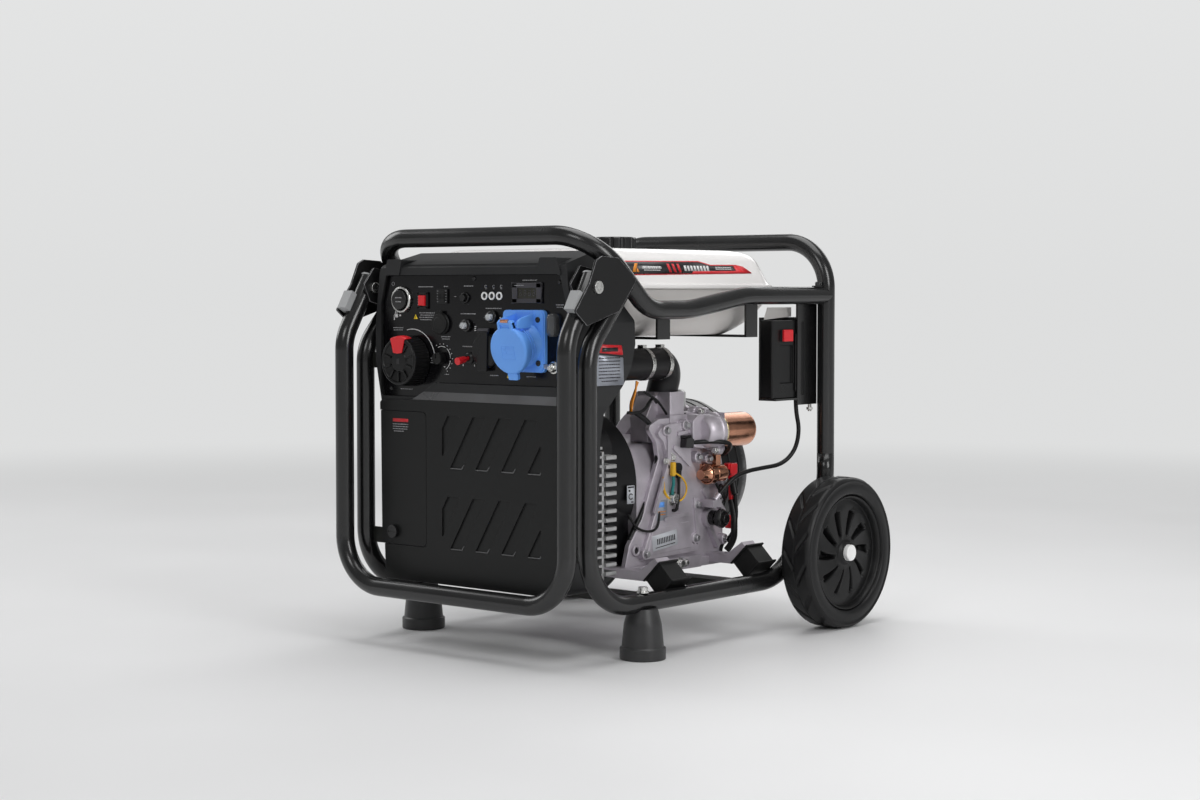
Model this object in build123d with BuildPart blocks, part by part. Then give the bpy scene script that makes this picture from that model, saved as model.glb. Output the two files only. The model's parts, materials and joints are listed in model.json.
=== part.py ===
from build123d import *
import math
import os

os.makedirs("parts", exist_ok=True)

# Engine driven welder in an open tubular frame, millimetres.
# X is the width, Y the length with the control panel at -Y, Z is up.
# The origin is on the ground, under the middle of the machine.

# ---------------------------------------------------------------- driving dimensions

# Tubular frame
tube_d = 28.0
tube_wall = 2.0
frame_half = 226.3          # side frame's centre plane from the middle of the machine
post_y = -311.3             # front post
rear_y = 283.0              # rear post
bottom_z = 82.7             # bottom tube
top_z = 618.0               # highest tubes
post_knee_z = 452.5         # where the front post leans back
hoop_front_y = -296.4       # front top tube
hoop_side_z = 531.0         # level side of the top hoop
hoop_low_z = 510.0          # dip beside the tank
corner_bend = 75.0
weld_gap = 0.05

# Fold-down handle
handle_y = -355.6
handle_bar_z = 89.6
pivot_y = -311.0
pivot_z = 543.0
handle_lean = 30.0          # degrees off vertical at its top
handle_stub = 17.0          # tube past the pivot
pivot_pin_d = 10.0
plate_gap = 0.4
plate_t = 3.5

# Wheels and feet
wheel_d = 241.8
wheel_w = 57.0
wheel_gap = 4.3             # side tube to wheel
axle_d = 16.0
axle_y = 248.7
rim_d = 184.0
hub_d = 40.0
foot_y = -186.6
foot_d = 68.0

# Front housing and control panel
housing_front = -314.0
housing_back = -235.0
housing_half = 200.0
housing_low_z = 98.0
housing_top_z = 586.0
housing_wall = 3.0
panel_face = -308.0
panel_t = 3.0
panel_half = 189.0
panel_low_z = 378.0
panel_step_z = 400.0
panel_top_z = 562.0
cover_face = -318.0
cover_t = 3.6
door_w = 100.0
door_h = 205.0
door_t = 3.2
door_gap = 0.6
knob_d = 77.0
knob_depth = 31.0
knob_x, knob_z = -126.5, 432.0
knob_shaft_r = 4.0
dial_x, dial_z = -64.0, 437.0
dial_shaft_r = 3.0

# Fuel tank
tank_half = 198.0
tank_low_z = 470.0
tank_lip_z = 544.0
tank_top_z = 602.0
tank_rear_y = 199.0
cap_d = 68.0

# Battery
battery_w = 26.0
battery_l = 118.0
battery_h = 124.0
battery_y = 160.0
battery_z = 367.0

# Engine
crank_z = 242.0
case_half = 112.0
case_front = -62.0
case_back = 150.0
case_low_z = 112.0
case_top_z = 300.0
case_wall = 7.0
shaft_d = 26.0
shaft_fit = 0.06            # radial running clearance of a shaft
rotor_d = 190.0
fan_cover_d = 236.0
fan_cover_back = 266.0
hose_d = 49.0
hose_z = 425.0
hose_x = 100.0
mount_front_y = -100.0
mount_rear_y = 118.0
bed_y = (-142.0, 74.0)      # the two cross channels

clear = 0.4                 # between pieces that move past each other
seat = 0.3                  # between pieces that rest against each other

# ---------------------------------------------------------------- worked-out places

tube_r = tube_d / 2
wheel_r = wheel_d / 2
axle_z = wheel_r
low_run_y = -176.0
slope = (top_z - hoop_low_z) / (low_run_y - hoop_front_y)
lean = math.tan(math.radians(41.1))


def hoop_z(y):
    """Height of the top hoop's front diagonal at y."""
    return hoop_low_z + slope * (low_run_y - y)


def post_z(y):
    """Height of the front post's leaning end at y."""
    return post_knee_z + (y - post_y) / lean


joint_y = (hoop_low_z + slope * low_run_y - post_knee_z + post_y / lean) / (slope + 1 / lean)
joint_z = hoop_z(joint_y)
lower_half = housing_half - 12
bottom_half = housing_half - 22

# ---------------------------------------------------------------- helpers


def save(part, name):
    """Labels one finished piece and writes it as its own file."""
    part.label = name
    export_step(part, f"parts/{name}.step")


def block(low, high, mode=Mode.ADD):
    """An upright box between two corners, in the part being built."""
    with Locations(tuple((a + b) / 2 for a, b in zip(low, high))):
        Box(*(b - a for a, b in zip(low, high)), mode=mode)


def rod(start, end, radius, mode=Mode.ADD):
    """A round bar between two points, in the part being built."""
    along = Vector(*end) - Vector(*start)
    with Locations(Plane(origin=start, z_dir=along)):
        Cylinder(radius, along.length, align=(Align.CENTER, Align.CENTER, Align.MIN), mode=mode)


def cone(start, end, radius_a, radius_b, mode=Mode.ADD):
    """A tapered round bar between two points, in the part being built."""
    along = Vector(*end) - Vector(*start)
    with Locations(Plane(origin=start, z_dir=along)):
        Cone(radius_a, radius_b, along.length, align=(Align.CENTER, Align.CENTER, Align.MIN), mode=mode)


def bent_tube(points, radii, outer=tube_d, wall=tube_wall):
    """A tube, or a bar where wall is 0, along straight runs and tangent arcs."""
    with BuildPart() as tube:
        with BuildLine() as route:
            FilletPolyline(*points, radius=radii)
        with BuildSketch(Plane(origin=route.line @ 0, z_dir=route.line % 0)):
            Circle(outer / 2)
            if wall:
                Circle(outer / 2 - wall, mode=Mode.SUBTRACT)
        sweep()
    return tube.part


def prism(plane, points, depth, corner=0.0):
    """A polygon, with rounded corners, extruded from its plane."""
    with BuildPart() as solid:
        with BuildSketch(plane) as face:
            with BuildLine():
                Polyline(*points, close=True)
            make_face()
            if corner:
                fillet(face.vertices(), corner)
        extrude(amount=depth)
    return solid.part


def turned(plane, points):
    """A closed outline of (radius, height) points, revolved about the plane's own normal."""
    with BuildPart() as solid:
        with BuildSketch(Plane(origin=plane.origin, x_dir=plane.x_dir, z_dir=-plane.y_dir)):
            with BuildLine():
                Polyline(*points, close=True)
            make_face()
        revolve(axis=Axis(plane.origin, plane.z_dir))
    return solid.part


def facing_front(x, z, y=panel_face):
    """A plane on the panel whose normal points out of it, with its x to the right and y up."""
    return Plane(origin=(x, y, z), x_dir=(1, 0, 0), z_dir=(0, -1, 0))


side_plane = Plane(origin=(0, 0, 0), x_dir=(0, 1, 0), z_dir=(1, 0, 0))      # local x is Y, local y is Z
front_plane = Plane(origin=(0, 0, 0), x_dir=(1, 0, 0), z_dir=(0, -1, 0))    # local x is X, local y is Z


def side_prism(x, points, depth, corner=0.0):
    """An outline of (y, z) points, extruded from x towards +X."""
    return prism(side_plane.offset(x), points, depth, corner)


def front_prism(y, points, depth, corner=0.0):
    """An outline of (x, z) points, extruded from y towards -Y."""
    return prism(front_plane.offset(-y), points, depth, corner)


# ---------------------------------------------------------------- tubular frame

heel = (152.0, bottom_z)
heel_top = (rear_y, 205.0)
heel_bend = 120.0
side_bends = [70, 90, heel_bend, 100]
side_routes = {}

for side, sign in (("right", 1), ("left", -1)):
    x = sign * frame_half
    route = [
        (x, joint_y, joint_z),
        (x, post_y, post_knee_z),
        (x, post_y, bottom_z),
        (x, *heel),
        (x, *heel_top),
        (x, rear_y, heel_top[1] + 70),
    ]
    side_routes[sign] = route
    tube = bent_tube(route, side_bends)
    with BuildPart() as side_frame:
        add(tube)
        rod((x, low_run_y, hoop_low_z), (x, hoop_front_y, top_z), tube_r + weld_gap, mode=Mode.SUBTRACT)
    save(side_frame.part, f"side_frame_{side}")
leg_low_z = heel_top[1] + 70

half_hoop = [
    (rear_y, hoop_side_z),
    (62.0, hoop_side_z),
    (-78.0, hoop_low_z),
    (low_run_y, hoop_low_z),
    (hoop_front_y, top_z),
]
hoop_route = [(frame_half, y, z) for y, z in half_hoop]
hoop_route += [(-frame_half, y, z) for y, z in reversed(half_hoop)]
tube = bent_tube(hoop_route, [300, 300, corner_bend, corner_bend, corner_bend, corner_bend, 300, 300])
with BuildPart() as top_hoop:
    add(tube)
    for x in (frame_half, -frame_half):
        rod((x, rear_y, hoop_side_z - 60), (x, rear_y, hoop_side_z + 60), tube_r + weld_gap,
            mode=Mode.SUBTRACT)
save(top_hoop.part, "top_hoop")

rear_route = [
    (frame_half, rear_y, leg_low_z),
    (frame_half, rear_y, top_z),
    (-frame_half, rear_y, top_z),
    (-frame_half, rear_y, leg_low_z),
]
save(bent_tube(rear_route, corner_bend), "rear_hoop")

# Two channels across the bottom, a plate for each stub axle and the tabs that hold the housing
bed_half = frame_half - tube_r - weld_gap
bed_w = 36.0
bed_top_z = bottom_z + 4
bracket_x = frame_half + tube_r
bracket_t = 5.0
axle_plate = [(186, bottom_z + 6), (axle_y + 14, axle_z - 18), (axle_y + 20, axle_z), (268, 178),
              (232, 146)]
tab_h = 24.0


def shell_half(z):
    """Half the housing's width at height z, up to its widest part."""
    if z > 370:
        return lower_half + (housing_half - lower_half) * min(1, (z - 370) / 60)
    return bottom_half + (lower_half - bottom_half) * (z - housing_low_z) / (370 - housing_low_z)


with BuildPart() as crossmembers:
    for y in bed_y:
        block((-bed_half, y - bed_w / 2, bottom_z - 10), (bed_half, y + bed_w / 2, bed_top_z))
        block((-bed_half - 1, y - bed_w / 2 + 3, bottom_z - 11),
              (bed_half + 1, y + bed_w / 2 - 3, bed_top_z - 3),
              mode=Mode.SUBTRACT)
    for sign in (1, -1):
        add(side_prism(sign * frame_half - bracket_t / 2, axle_plate, bracket_t, 5))
        for z in (150.0, 420.0):
            inner = shell_half(z + tab_h) + seat
            low_x, high_x = sorted((sign * inner, sign * (frame_half - tube_r + 0.5)))
            block((low_x, post_y + 2, z), (high_x, post_y + 5, z + tab_h))
        rod((sign * (frame_half - 10), axle_y, axle_z), (sign * (frame_half + 10), axle_y, axle_z),
            axle_d / 2 + seat / 3, mode=Mode.SUBTRACT)
        add(bent_tube(side_routes[sign], side_bends, tube_d + 2 * weld_gap, 0), mode=Mode.SUBTRACT)
save(crossmembers.part, "crossmembers")

# Hinge brackets: an inner and an outer plate at each side, in the corner between post and hoop
outer_plate = [
    (-240, hoop_z(-240)), (-264, 585), (-300, 587), (-312, 581), (-327, 548), (-357, 509), (-332, 489),
    (-262, post_z(-262)), (joint_y, joint_z),
]
inner_plate = [
    (-231, hoop_z(-231)), (-250, 556), (-264, 566), (-309, 574), (-330, 548), (-318, 522),
    (-262, post_z(-262)), (joint_y, joint_z),
]
pin_r = pivot_pin_d / 2
plate_out = frame_half + tube_r + plate_gap
plate_in = frame_half - tube_r - plate_gap
with BuildPart() as hinge_brackets:
    for sign in (1, -1):
        for near, outline in ((plate_out, outer_plate), (plate_in - plate_t, inner_plate)):
            low_x = near if sign > 0 else -near - plate_t
            add(side_prism(low_x, outline, plate_t, 3))
    rod((-plate_out - 20, pivot_y, pivot_z), (plate_out + 20, pivot_y, pivot_z), pin_r, mode=Mode.SUBTRACT)
save(hinge_brackets.part, "hinge_brackets")

# ---------------------------------------------------------------- fold-down handle

lean_dir = (math.sin(math.radians(handle_lean)), math.cos(math.radians(handle_lean)))
bend_z = pivot_z - (pivot_y - handle_y) / lean_dir[0] * lean_dir[1]
tip = (pivot_y + handle_stub * lean_dir[0], pivot_z + handle_stub * lean_dir[1])
handle_route = [(frame_half, *tip), (frame_half, handle_y, bend_z), (frame_half, handle_y, handle_bar_z)]
handle_route += [(-x, y, z) for x, y, z in reversed(handle_route)]
tube = bent_tube(handle_route, [70, corner_bend, corner_bend, 70])
with BuildPart() as fold_handle:
    add(tube)
    rod((-plate_out, pivot_y, pivot_z), (plate_out, pivot_y, pivot_z), pin_r + 0.1, mode=Mode.SUBTRACT)
save(fold_handle.part, "fold_handle")


def along_handle(run, out):
    """(y, z) at a distance along the handle's leaning end from its bend, and out in front of it."""
    y = handle_y + run * lean_dir[0] - out * lean_dir[1]
    z = bend_z + run * lean_dir[1] + out * lean_dir[0]
    return (y, z)


# A rubber stop on the front of each leg, and a plug in each open tube end
stop_w = 18.0
stop_out = tube_r + 11
with BuildPart() as handle_stops:
    for sign in (1, -1):
        centre = sign * (frame_half + 5)
        corners = [along_handle(40, 4), along_handle(40, stop_out), along_handle(70, stop_out),
                   along_handle(70, 4)]
        add(side_prism(centre - stop_w / 2, corners, stop_w))
    for sign in (1, -1):
        x = sign * frame_half
        rod((x, *along_handle(20, 0)), (x, *tip), tube_r + 0.02, mode=Mode.SUBTRACT)
        end = (tip[0] + 3 * lean_dir[0], tip[1] + 3 * lean_dir[1])
        rod((x, *tip), (x, *end), tube_r)
save(handle_stops.part, "handle_stops")

# ---------------------------------------------------------------- wheels

wheel_in = bracket_x + wheel_gap


def wheel_plane(sign):
    """The wheel's inner face, with its normal pointing away from the machine."""
    return Plane(origin=(sign * wheel_in, axle_y, axle_z), x_dir=(0, 0, 1), z_dir=(sign, 0, 0))


rim_r = rim_d / 2
hub_r = hub_d / 2
dish = 40.0                 # outer face of the disc, from the wheel's inner face
tyre_profile = [
    (rim_r, 3), (wheel_r - 10, 0), (wheel_r - 3, 4), (wheel_r, 12),
    (wheel_r, wheel_w - 12), (wheel_r - 3, wheel_w - 4), (wheel_r - 10, wheel_w), (rim_r, wheel_w - 2),
]
rim_profile = [
    (axle_d / 2 + 0.1, 0), (hub_r, 0), (hub_r, dish - 6), (rim_r - 9, dish - 6), (rim_r - 6, 6), (rim_r, 6),
    (rim_r, wheel_w - 5), (rim_r - 5, wheel_w - 5), (rim_r - 9, dish), (hub_r + 4, dish),
    (hub_r - 4, dish + 8), (axle_d / 2 + 0.1, dish + 8),
]
slot_count = 10
slot_outline = [(hub_r + 8, -2.5), (rim_r - 18, -2), (rim_r - 16, 9), (hub_r + 10, 3.5)]
cap_r = 13.0
for side, sign in (("right", 1), ("left", -1)):
    hub = wheel_plane(sign)
    save(turned(hub, tyre_profile), f"tyre_{side}")
    blank = turned(hub, rim_profile)
    with BuildPart() as rim:
        add(blank)
        with BuildSketch(hub.offset(dish + 5)) as slots:
            with PolarLocations(0, slot_count):
                Polygon(*slot_outline, align=None)
            fillet(slots.vertices(), 1.8)
        extrude(amount=-20, mode=Mode.SUBTRACT)
    save(rim.part, f"rim_{side}")
    with BuildPart(hub) as hub_cap:
        with Locations((0, 0, dish + 8)):
            Cylinder(cap_r, wheel_w - dish - 8, align=(Align.CENTER, Align.CENTER, Align.MIN))
        fillet(hub_cap.edges().sort_by(Axis.X)[-1 if sign > 0 else 0], 2)
        with Locations((0, 0, dish + 8)):
            Cylinder(axle_d / 2 + 0.1, 6, align=(Align.CENTER, Align.CENTER, Align.MIN), mode=Mode.SUBTRACT)
    save(hub_cap.part, f"hub_cap_{side}")

# A stub axle at each side, with a collar that spaces the wheel off its bracket
collar_r = 12.0
with BuildPart() as wheel_axles:
    for sign in (1, -1):
        inner = sign * (frame_half - 14)
        rod((inner, axle_y, axle_z), (sign * (wheel_in + dish + 12), axle_y, axle_z), axle_d / 2)
        rod((sign * (frame_half + 2.5), axle_y, axle_z), (sign * (wheel_in - seat), axle_y, axle_z),
            collar_r)
        rod((inner, axle_y, axle_z), (sign * (frame_half - 2.5), axle_y, axle_z), collar_r)
save(wheel_axles.part, "wheel_axles")

# ---------------------------------------------------------------- front feet

foot_top_z = bottom_z - tube_r
foot_profile = [
    (0, 0), (foot_d / 2 - 1, 0), (foot_d / 2, 1), (foot_d / 2, 17), (foot_d / 2 - 3, 19),
    (foot_d / 2 - 6, 52), (foot_d / 2 - 12, foot_top_z + 6), (0, foot_top_z + 6),
]
with BuildPart() as front_feet:
    for sign in (1, -1):
        x = sign * frame_half
        add(turned(Plane(origin=(x, foot_y, 0), z_dir=(0, 0, 1)), foot_profile))
        rod((x, foot_y - 60, bottom_z), (x, foot_y + 60, bottom_z), tube_r + weld_gap, mode=Mode.SUBTRACT)
save(front_feet.part, "front_feet")

# ---------------------------------------------------------------- front housing

shell_front = [
    (-bottom_half, housing_low_z), (bottom_half, housing_low_z), (lower_half, 370), (housing_half, 430),
    (housing_half, 492), (housing_half - 9, 566), (housing_half - 22, housing_top_z + 14),
    (-housing_half + 22, housing_top_z + 14), (-housing_half + 9, 566),
    (-housing_half, 492), (-housing_half, 430), (-lower_half, 370),
]
shell_side = [
    (housing_front, housing_low_z), (housing_front, housing_top_z - 12),
    (housing_front + 6, housing_top_z - 8),
    (-232, housing_top_z + 12), (-232, 553), (-174, 495), (-172, 460), (-184, 417), (-194, 398),
    (-215, 373), (-229, 359), (housing_back, 322), (housing_back, housing_low_z),
]
outer_front = front_prism(-150, shell_front, 200, 10)
outer_side = side_prism(-260, shell_side, 520, 4)


def inset(points, middle_y, middle_z, by, slack=0.0):
    """An outline drawn in towards its middle, so that a shell's wall is left outside it."""
    result = []
    for a, b in points:
        result.append((a - math.copysign(by, a - middle_y) + slack, b - math.copysign(by, b - middle_z)))
    return result


inner_front = front_prism(-150, inset(shell_front, 0, 330, housing_wall), 200, 8)
inner_side = side_prism(-260, inset(shell_side, -262, 330, housing_wall), 520, 3)
panel_outline = [
    (-panel_half, panel_low_z), (-113, panel_low_z), (-76, panel_step_z), (panel_half, panel_step_z),
    (panel_half, 520), (panel_half - 12, panel_top_z), (-panel_half + 12, panel_top_z), (-panel_half, 520),
]
hatch_x = (-174.0, -93.0)
hatch_z = (156.0, 351.0)
with BuildPart() as core:
    add(inner_front)
    add(inner_side, mode=Mode.INTERSECT)
with BuildPart() as housing:
    add(outer_front)
    add(outer_side, mode=Mode.INTERSECT)
    # the bezel: ears at each end of the top edge, and a ledge over the lower cover
    for ear in ([(-180, 560), (-148, 560), (-141, housing_top_z), (-172, housing_top_z)],
                [(133, 560), (181, 560), (172, housing_top_z), (140, housing_top_z)]):
        add(front_prism(housing_front + 40, ear, 42, 3))
    add(core.part, mode=Mode.SUBTRACT)
    add(front_prism(housing_front + housing_wall + 3, panel_outline, 30, 7), mode=Mode.SUBTRACT)
    # the rim that the panel is screwed to
    add(front_prism(panel_face + panel_t + 3, panel_outline, 3, 7))
    window = [(x * 0.965, z + (4 if z < 450 else -4)) for x, z in panel_outline]
    add(front_prism(panel_face + panel_t + 10, window, 20, 4), mode=Mode.SUBTRACT)
    block((hatch_x[0], housing_front - 10, hatch_z[0]), (hatch_x[1], housing_front + 10, hatch_z[1]),
          mode=Mode.SUBTRACT)
    # the open back, for the inverter's fins and the intake hose
    block((-bottom_half + 8, housing_back - 5, housing_low_z + 8), (bottom_half - 8, housing_back + 5, 320),
          mode=Mode.SUBTRACT)
    block((-housing_half + 12, -240, 400), (housing_half - 12, -150, 485), mode=Mode.SUBTRACT)
save(housing.part, "housing")

with BuildPart() as control_panel:
    add(front_prism(panel_face + panel_t, inset(panel_outline, 0, 470, seat), panel_t, 7))
    for x, z, radius in ((knob_x, knob_z, knob_shaft_r), (dial_x, dial_z, dial_shaft_r)):
        rod((x, panel_face + 10, z), (x, panel_face - 10, z), radius + shaft_fit, mode=Mode.SUBTRACT)
save(control_panel.part, "control_panel")

# ---------------------------------------------------------------- lower cover, door and latch

cover_outline = [
    (-176, housing_low_z), (176, housing_low_z), (lower_half, 368), (176, 397), (-70, 397), (-106, 375),
    (-lower_half, 372),
]
door_x = (-188.0, -188.0 + door_w)
door_z = (151.0, 151.0 + door_h)
cover_back = cover_face + cover_t
slot_w = 26.0
slot_lean = 48.0
slot_h = 80.0
slot_pitch = 52.0
vent_x = (-55.0, 144.0)
with BuildPart() as lower_cover:
    add(front_prism(cover_back, cover_outline, cover_t, 6))
    with BuildSketch(facing_front(0, 0, cover_face)):
        with BuildLine():
            FilletPolyline((door_x[0] - 20, door_z[0]), (door_x[1], door_z[0]), (door_x[1], door_z[1]),
                           (door_x[0] - 20, door_z[1]), radius=[9, 9])
            Line((door_x[0] - 20, door_z[1]), (door_x[0] - 20, door_z[0]))
        make_face()
    extrude(amount=-10, mode=Mode.SUBTRACT)
    # two rows of slanted vents, recessed in the cover
    with BuildSketch(facing_front(0, 0, cover_face)):
        for low_z in (151.0, 272.0):
            for step in range(5):
                x = vent_x[0] - 36 + step * slot_pitch
                Polygon((x, low_z), (x + slot_w, low_z), (x + slot_w + slot_lean, low_z + slot_h),
                        (x + slot_lean, low_z + slot_h), align=None)
        with Locations(((vent_x[0] + vent_x[1]) / 2, 250)):
            Rectangle(vent_x[1] - vent_x[0], 400, mode=Mode.INTERSECT)
    extrude(amount=-2, mode=Mode.SUBTRACT)
    chamfer(lower_cover.faces().sort_by(Axis.Y)[0].edges().group_by(Axis.Z)[-1], 2.2)
save(lower_cover.part, "lower_cover")

latch_x, latch_z = -157.0, 171.0
latch_r = 4.0
door_face = cover_face + 0.2
with BuildPart() as service_door:
    with BuildSketch(facing_front(0, 0, door_face)):
        with BuildLine():
            FilletPolyline((door_x[0] + 4, door_z[0] + door_gap),
                           (door_x[1] - door_gap, door_z[0] + door_gap),
                           (door_x[1] - door_gap, door_z[1] - door_gap),
                           (door_x[0] + 2, door_z[1] - door_gap),
                           radius=[8.5, 8.5])
            Line((door_x[0] + 2, door_z[1] - door_gap), (door_x[0] + 4, door_z[0] + door_gap))
        make_face()
        with Locations((latch_x, latch_z)):
            Circle(latch_r + 0.1, mode=Mode.SUBTRACT)
    extrude(amount=-door_t)
save(service_door.part, "service_door")

with BuildPart() as door_latch:
    rod((latch_x, door_face - 6, latch_z), (latch_x, door_face - clear, latch_z), 10)
    rod((latch_x, door_face - 5, latch_z), (latch_x, housing_front + housing_wall + 3, latch_z), latch_r)
    block((latch_x - 5, housing_front + housing_wall + 1, latch_z - 5),
          (latch_x + 5, housing_front + housing_wall + 3, latch_z + 20))
    block((latch_x - 8, door_face - 7, latch_z - 1), (latch_x + 8, door_face - 5, latch_z + 1),
          mode=Mode.SUBTRACT)
save(door_latch.part, "door_latch")

# ---------------------------------------------------------------- panel controls

knob_back = panel_face - 0.8
knob_r = knob_d / 2
with BuildPart() as engine_knob:
    cone((knob_x, knob_back, knob_z), (knob_x, knob_back - knob_depth, knob_z), knob_r, knob_r - 2.5)
    with BuildSketch(facing_front(knob_x, knob_z, knob_back)):
        with PolarLocations(knob_r + 1.2, 36):
            Circle(2.2)
    extrude(amount=knob_depth - 5, mode=Mode.SUBTRACT)
    fillet(engine_knob.faces().sort_by(Axis.Y)[0].edges(), 2)
    with BuildSketch(facing_front(knob_x, knob_z, knob_back - knob_depth)):
        Circle(knob_r - 14)
        Rectangle(9, 2 * knob_r, mode=Mode.SUBTRACT)
    extrude(amount=-4, mode=Mode.SUBTRACT)
    rod((knob_x, panel_face + 1, knob_z), (knob_x, knob_back, knob_z), knob_shaft_r)
save(engine_knob.part, "engine_knob")

start_x, start_z = -147.5, 524.7
rocker_x, rocker_z = -102.0, 523.6
port_x, port_z = -61.0, 530.0
reset_x, reset_z = -14.7, 528.0
meter_x, meter_z = 110.6, 535.0
dc_x, dc_z = -63.9, 488.9
toggle_x, toggle_z = -7.0, 438.4
schuko_x, schuko_z = 28.0, 450.0
cee_x, cee_z = 107.8, 465.5
dome_x, dome_z = 163.0, 489.0
earth_x, earth_z = 161.0, 428.0
breakers = (("left", -10.9, 486.6), ("right", 41.0, 499.7))
lamps = (24.9, 39.8, 54.7)
lamp_z = 530.7
start_r = 20.5
button_r = 15.0
rocker_w, rocker_h = 12.4, 15.5
press_depth = 2.0


def panel_disc(x, z, radius, height, base=panel_face, mode=Mode.ADD):
    """A round boss standing out of the panel, in the part being built."""
    rod((x, base, z), (x, base - height, z), radius, mode=mode)


def panel_box(x, z, width, height, depth, base=panel_face, mode=Mode.ADD):
    """A square boss standing out of the panel, in the part being built."""
    block((x - width / 2, base - depth, z - height / 2), (x + width / 2, base, z + height / 2), mode=mode)


with BuildPart() as panel_fittings:
    panel_disc(start_x, start_z, start_r, 6)
    panel_disc(start_x, start_z, button_r + clear, 20, panel_face + 5, mode=Mode.SUBTRACT)
    panel_box(rocker_x, rocker_z, 22, 25, 3)
    panel_box(rocker_x, rocker_z, rocker_w + 2 * clear, rocker_h + 4 * clear, 20, panel_face + 5,
              mode=Mode.SUBTRACT)
    panel_box(port_x, port_z, 22, 22, 4)
    panel_disc(port_x, port_z, 7, 20, panel_face - 1.5, mode=Mode.SUBTRACT)
    panel_disc(reset_x, reset_z, 8, 3.5)
    panel_disc(reset_x, reset_z, 5 + clear, 20, panel_face + 5, mode=Mode.SUBTRACT)
    panel_box(meter_x, meter_z, 57, 29, 3.5)
    panel_box(meter_x, meter_z, 37, 17, 20, panel_face - 2, mode=Mode.SUBTRACT)
    panel_disc(dc_x, dc_z, 15, 3)
    panel_disc(dc_x, dc_z, 10, 20, panel_face + 5, mode=Mode.SUBTRACT)
    for _, x, z in breakers:
        panel_disc(x, z, 9.5, 6)
        panel_disc(x, z, 5 + clear, 20, panel_face + 5, mode=Mode.SUBTRACT)
    panel_disc(toggle_x, toggle_z, 9, 4)
    panel_disc(toggle_x, toggle_z, 3.7, 20, panel_face + 5, mode=Mode.SUBTRACT)
    panel_disc(earth_x, earth_z, 4, 12)
    panel_disc(earth_x, earth_z, 8, 5, panel_face - 4)
save(panel_fittings.part, "panel_fittings")

with BuildPart() as start_button:
    panel_disc(start_x, start_z, button_r, 7.5, panel_face - press_depth - seat)
save(start_button.part, "start_button")

with BuildPart() as power_rocker:
    panel_box(rocker_x, rocker_z, rocker_w, rocker_h, 4.5, panel_face - 1.2)
    fillet(power_rocker.edges().filter_by(Axis.X), 1.2)
    trunnion = rocker_w / 2 + seat
    rod((rocker_x - trunnion, panel_face - 2.7, rocker_z),
        (rocker_x + trunnion, panel_face - 2.7, rocker_z), 1.4)
save(power_rocker.part, "power_rocker")

with BuildPart() as reset_button:
    panel_disc(reset_x, reset_z, 5, 5.5, panel_face - press_depth - seat)
save(reset_button.part, "reset_button")

for side, x, z in breakers:
    with BuildPart() as breaker_button:
        panel_disc(x, z, 5, 10, panel_face - press_depth - seat)
    save(breaker_button.part, f"breaker_button_{side}")

with BuildPart() as indicator_lamps:
    for x in lamps:
        panel_disc(x, lamp_z, 6, 2.5)
        fillet(indicator_lamps.edges().group_by(Axis.Y)[0], 1)
save(indicator_lamps.part, "indicator_lamps")

cap_hinge_z = dc_z + 17.5
with BuildPart() as dc_cap:
    panel_disc(dc_x, dc_z, 15.5, 5, panel_face - 3 - clear)
    panel_box(dc_x, dc_z + 11, 12, 13, 3, panel_face - 3 - clear)
    fillet(dc_cap.faces().sort_by(Axis.Y)[0].edges(), 1)
    rod((dc_x - 7, panel_face - 5, cap_hinge_z), (dc_x + 7, panel_face - 5, cap_hinge_z), 1.6)
save(dc_cap.part, "dc_cap")

with BuildPart() as current_dial:
    panel_disc(dial_x, dial_z, 9, 13, panel_face - clear)
    chamfer(current_dial.faces().sort_by(Axis.Y)[0].edges(), 1.5)
    rod((dial_x, panel_face - clear, dial_z), (dial_x, panel_face + 1, dial_z), dial_shaft_r)
    block((dial_x - 0.8, panel_face - 20, dial_z), (dial_x + 0.8, panel_face - 11, dial_z + 12),
          mode=Mode.SUBTRACT)
save(current_dial.part, "current_dial")

toggle_len = 24.0
toggle_tilt = 10.0
with BuildPart() as toggle_lever:
    tip_dir = (0, -math.cos(math.radians(toggle_tilt)), -math.sin(math.radians(toggle_tilt)))
    root = (toggle_x, panel_face - 2, toggle_z)
    tip_at = tuple(a + b * toggle_len for a, b in zip(root, tip_dir))
    mid = tuple(a + b * toggle_len * 0.35 for a, b in zip(root, tip_dir))
    cone(root, tip_at, 2.6, 3.4)
    cone(mid, tip_at, 4.6, 5.6)
    rod((toggle_x - 2.5, panel_face - 2, toggle_z), (toggle_x + 2.5, panel_face - 2, toggle_z), 1.7)
save(toggle_lever.part, "toggle_lever")

with BuildPart() as schuko_socket:
    panel_disc(schuko_x, schuko_z, 26, 4)
    panel_disc(schuko_x, schuko_z, 19.5, 20, panel_face - 1.5, mode=Mode.SUBTRACT)
save(schuko_socket.part, "schuko_socket")

flap_base = panel_face - 4 - clear
flap_hinge_z = schuko_z + 30
with BuildPart() as schuko_flap:
    panel_disc(schuko_x, schuko_z, 24.5, 3, flap_base)
    panel_box(schuko_x, schuko_z + 0.5, 21, 62, 5, flap_base)
    fillet(schuko_flap.edges().filter_by(Axis.Y), 3)
    rod((schuko_x - 11, flap_base - 2.4, flap_hinge_z), (schuko_x + 11, flap_base - 2.4, flap_hinge_z), 2.4)
save(schuko_flap.part, "schuko_flap")

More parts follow.
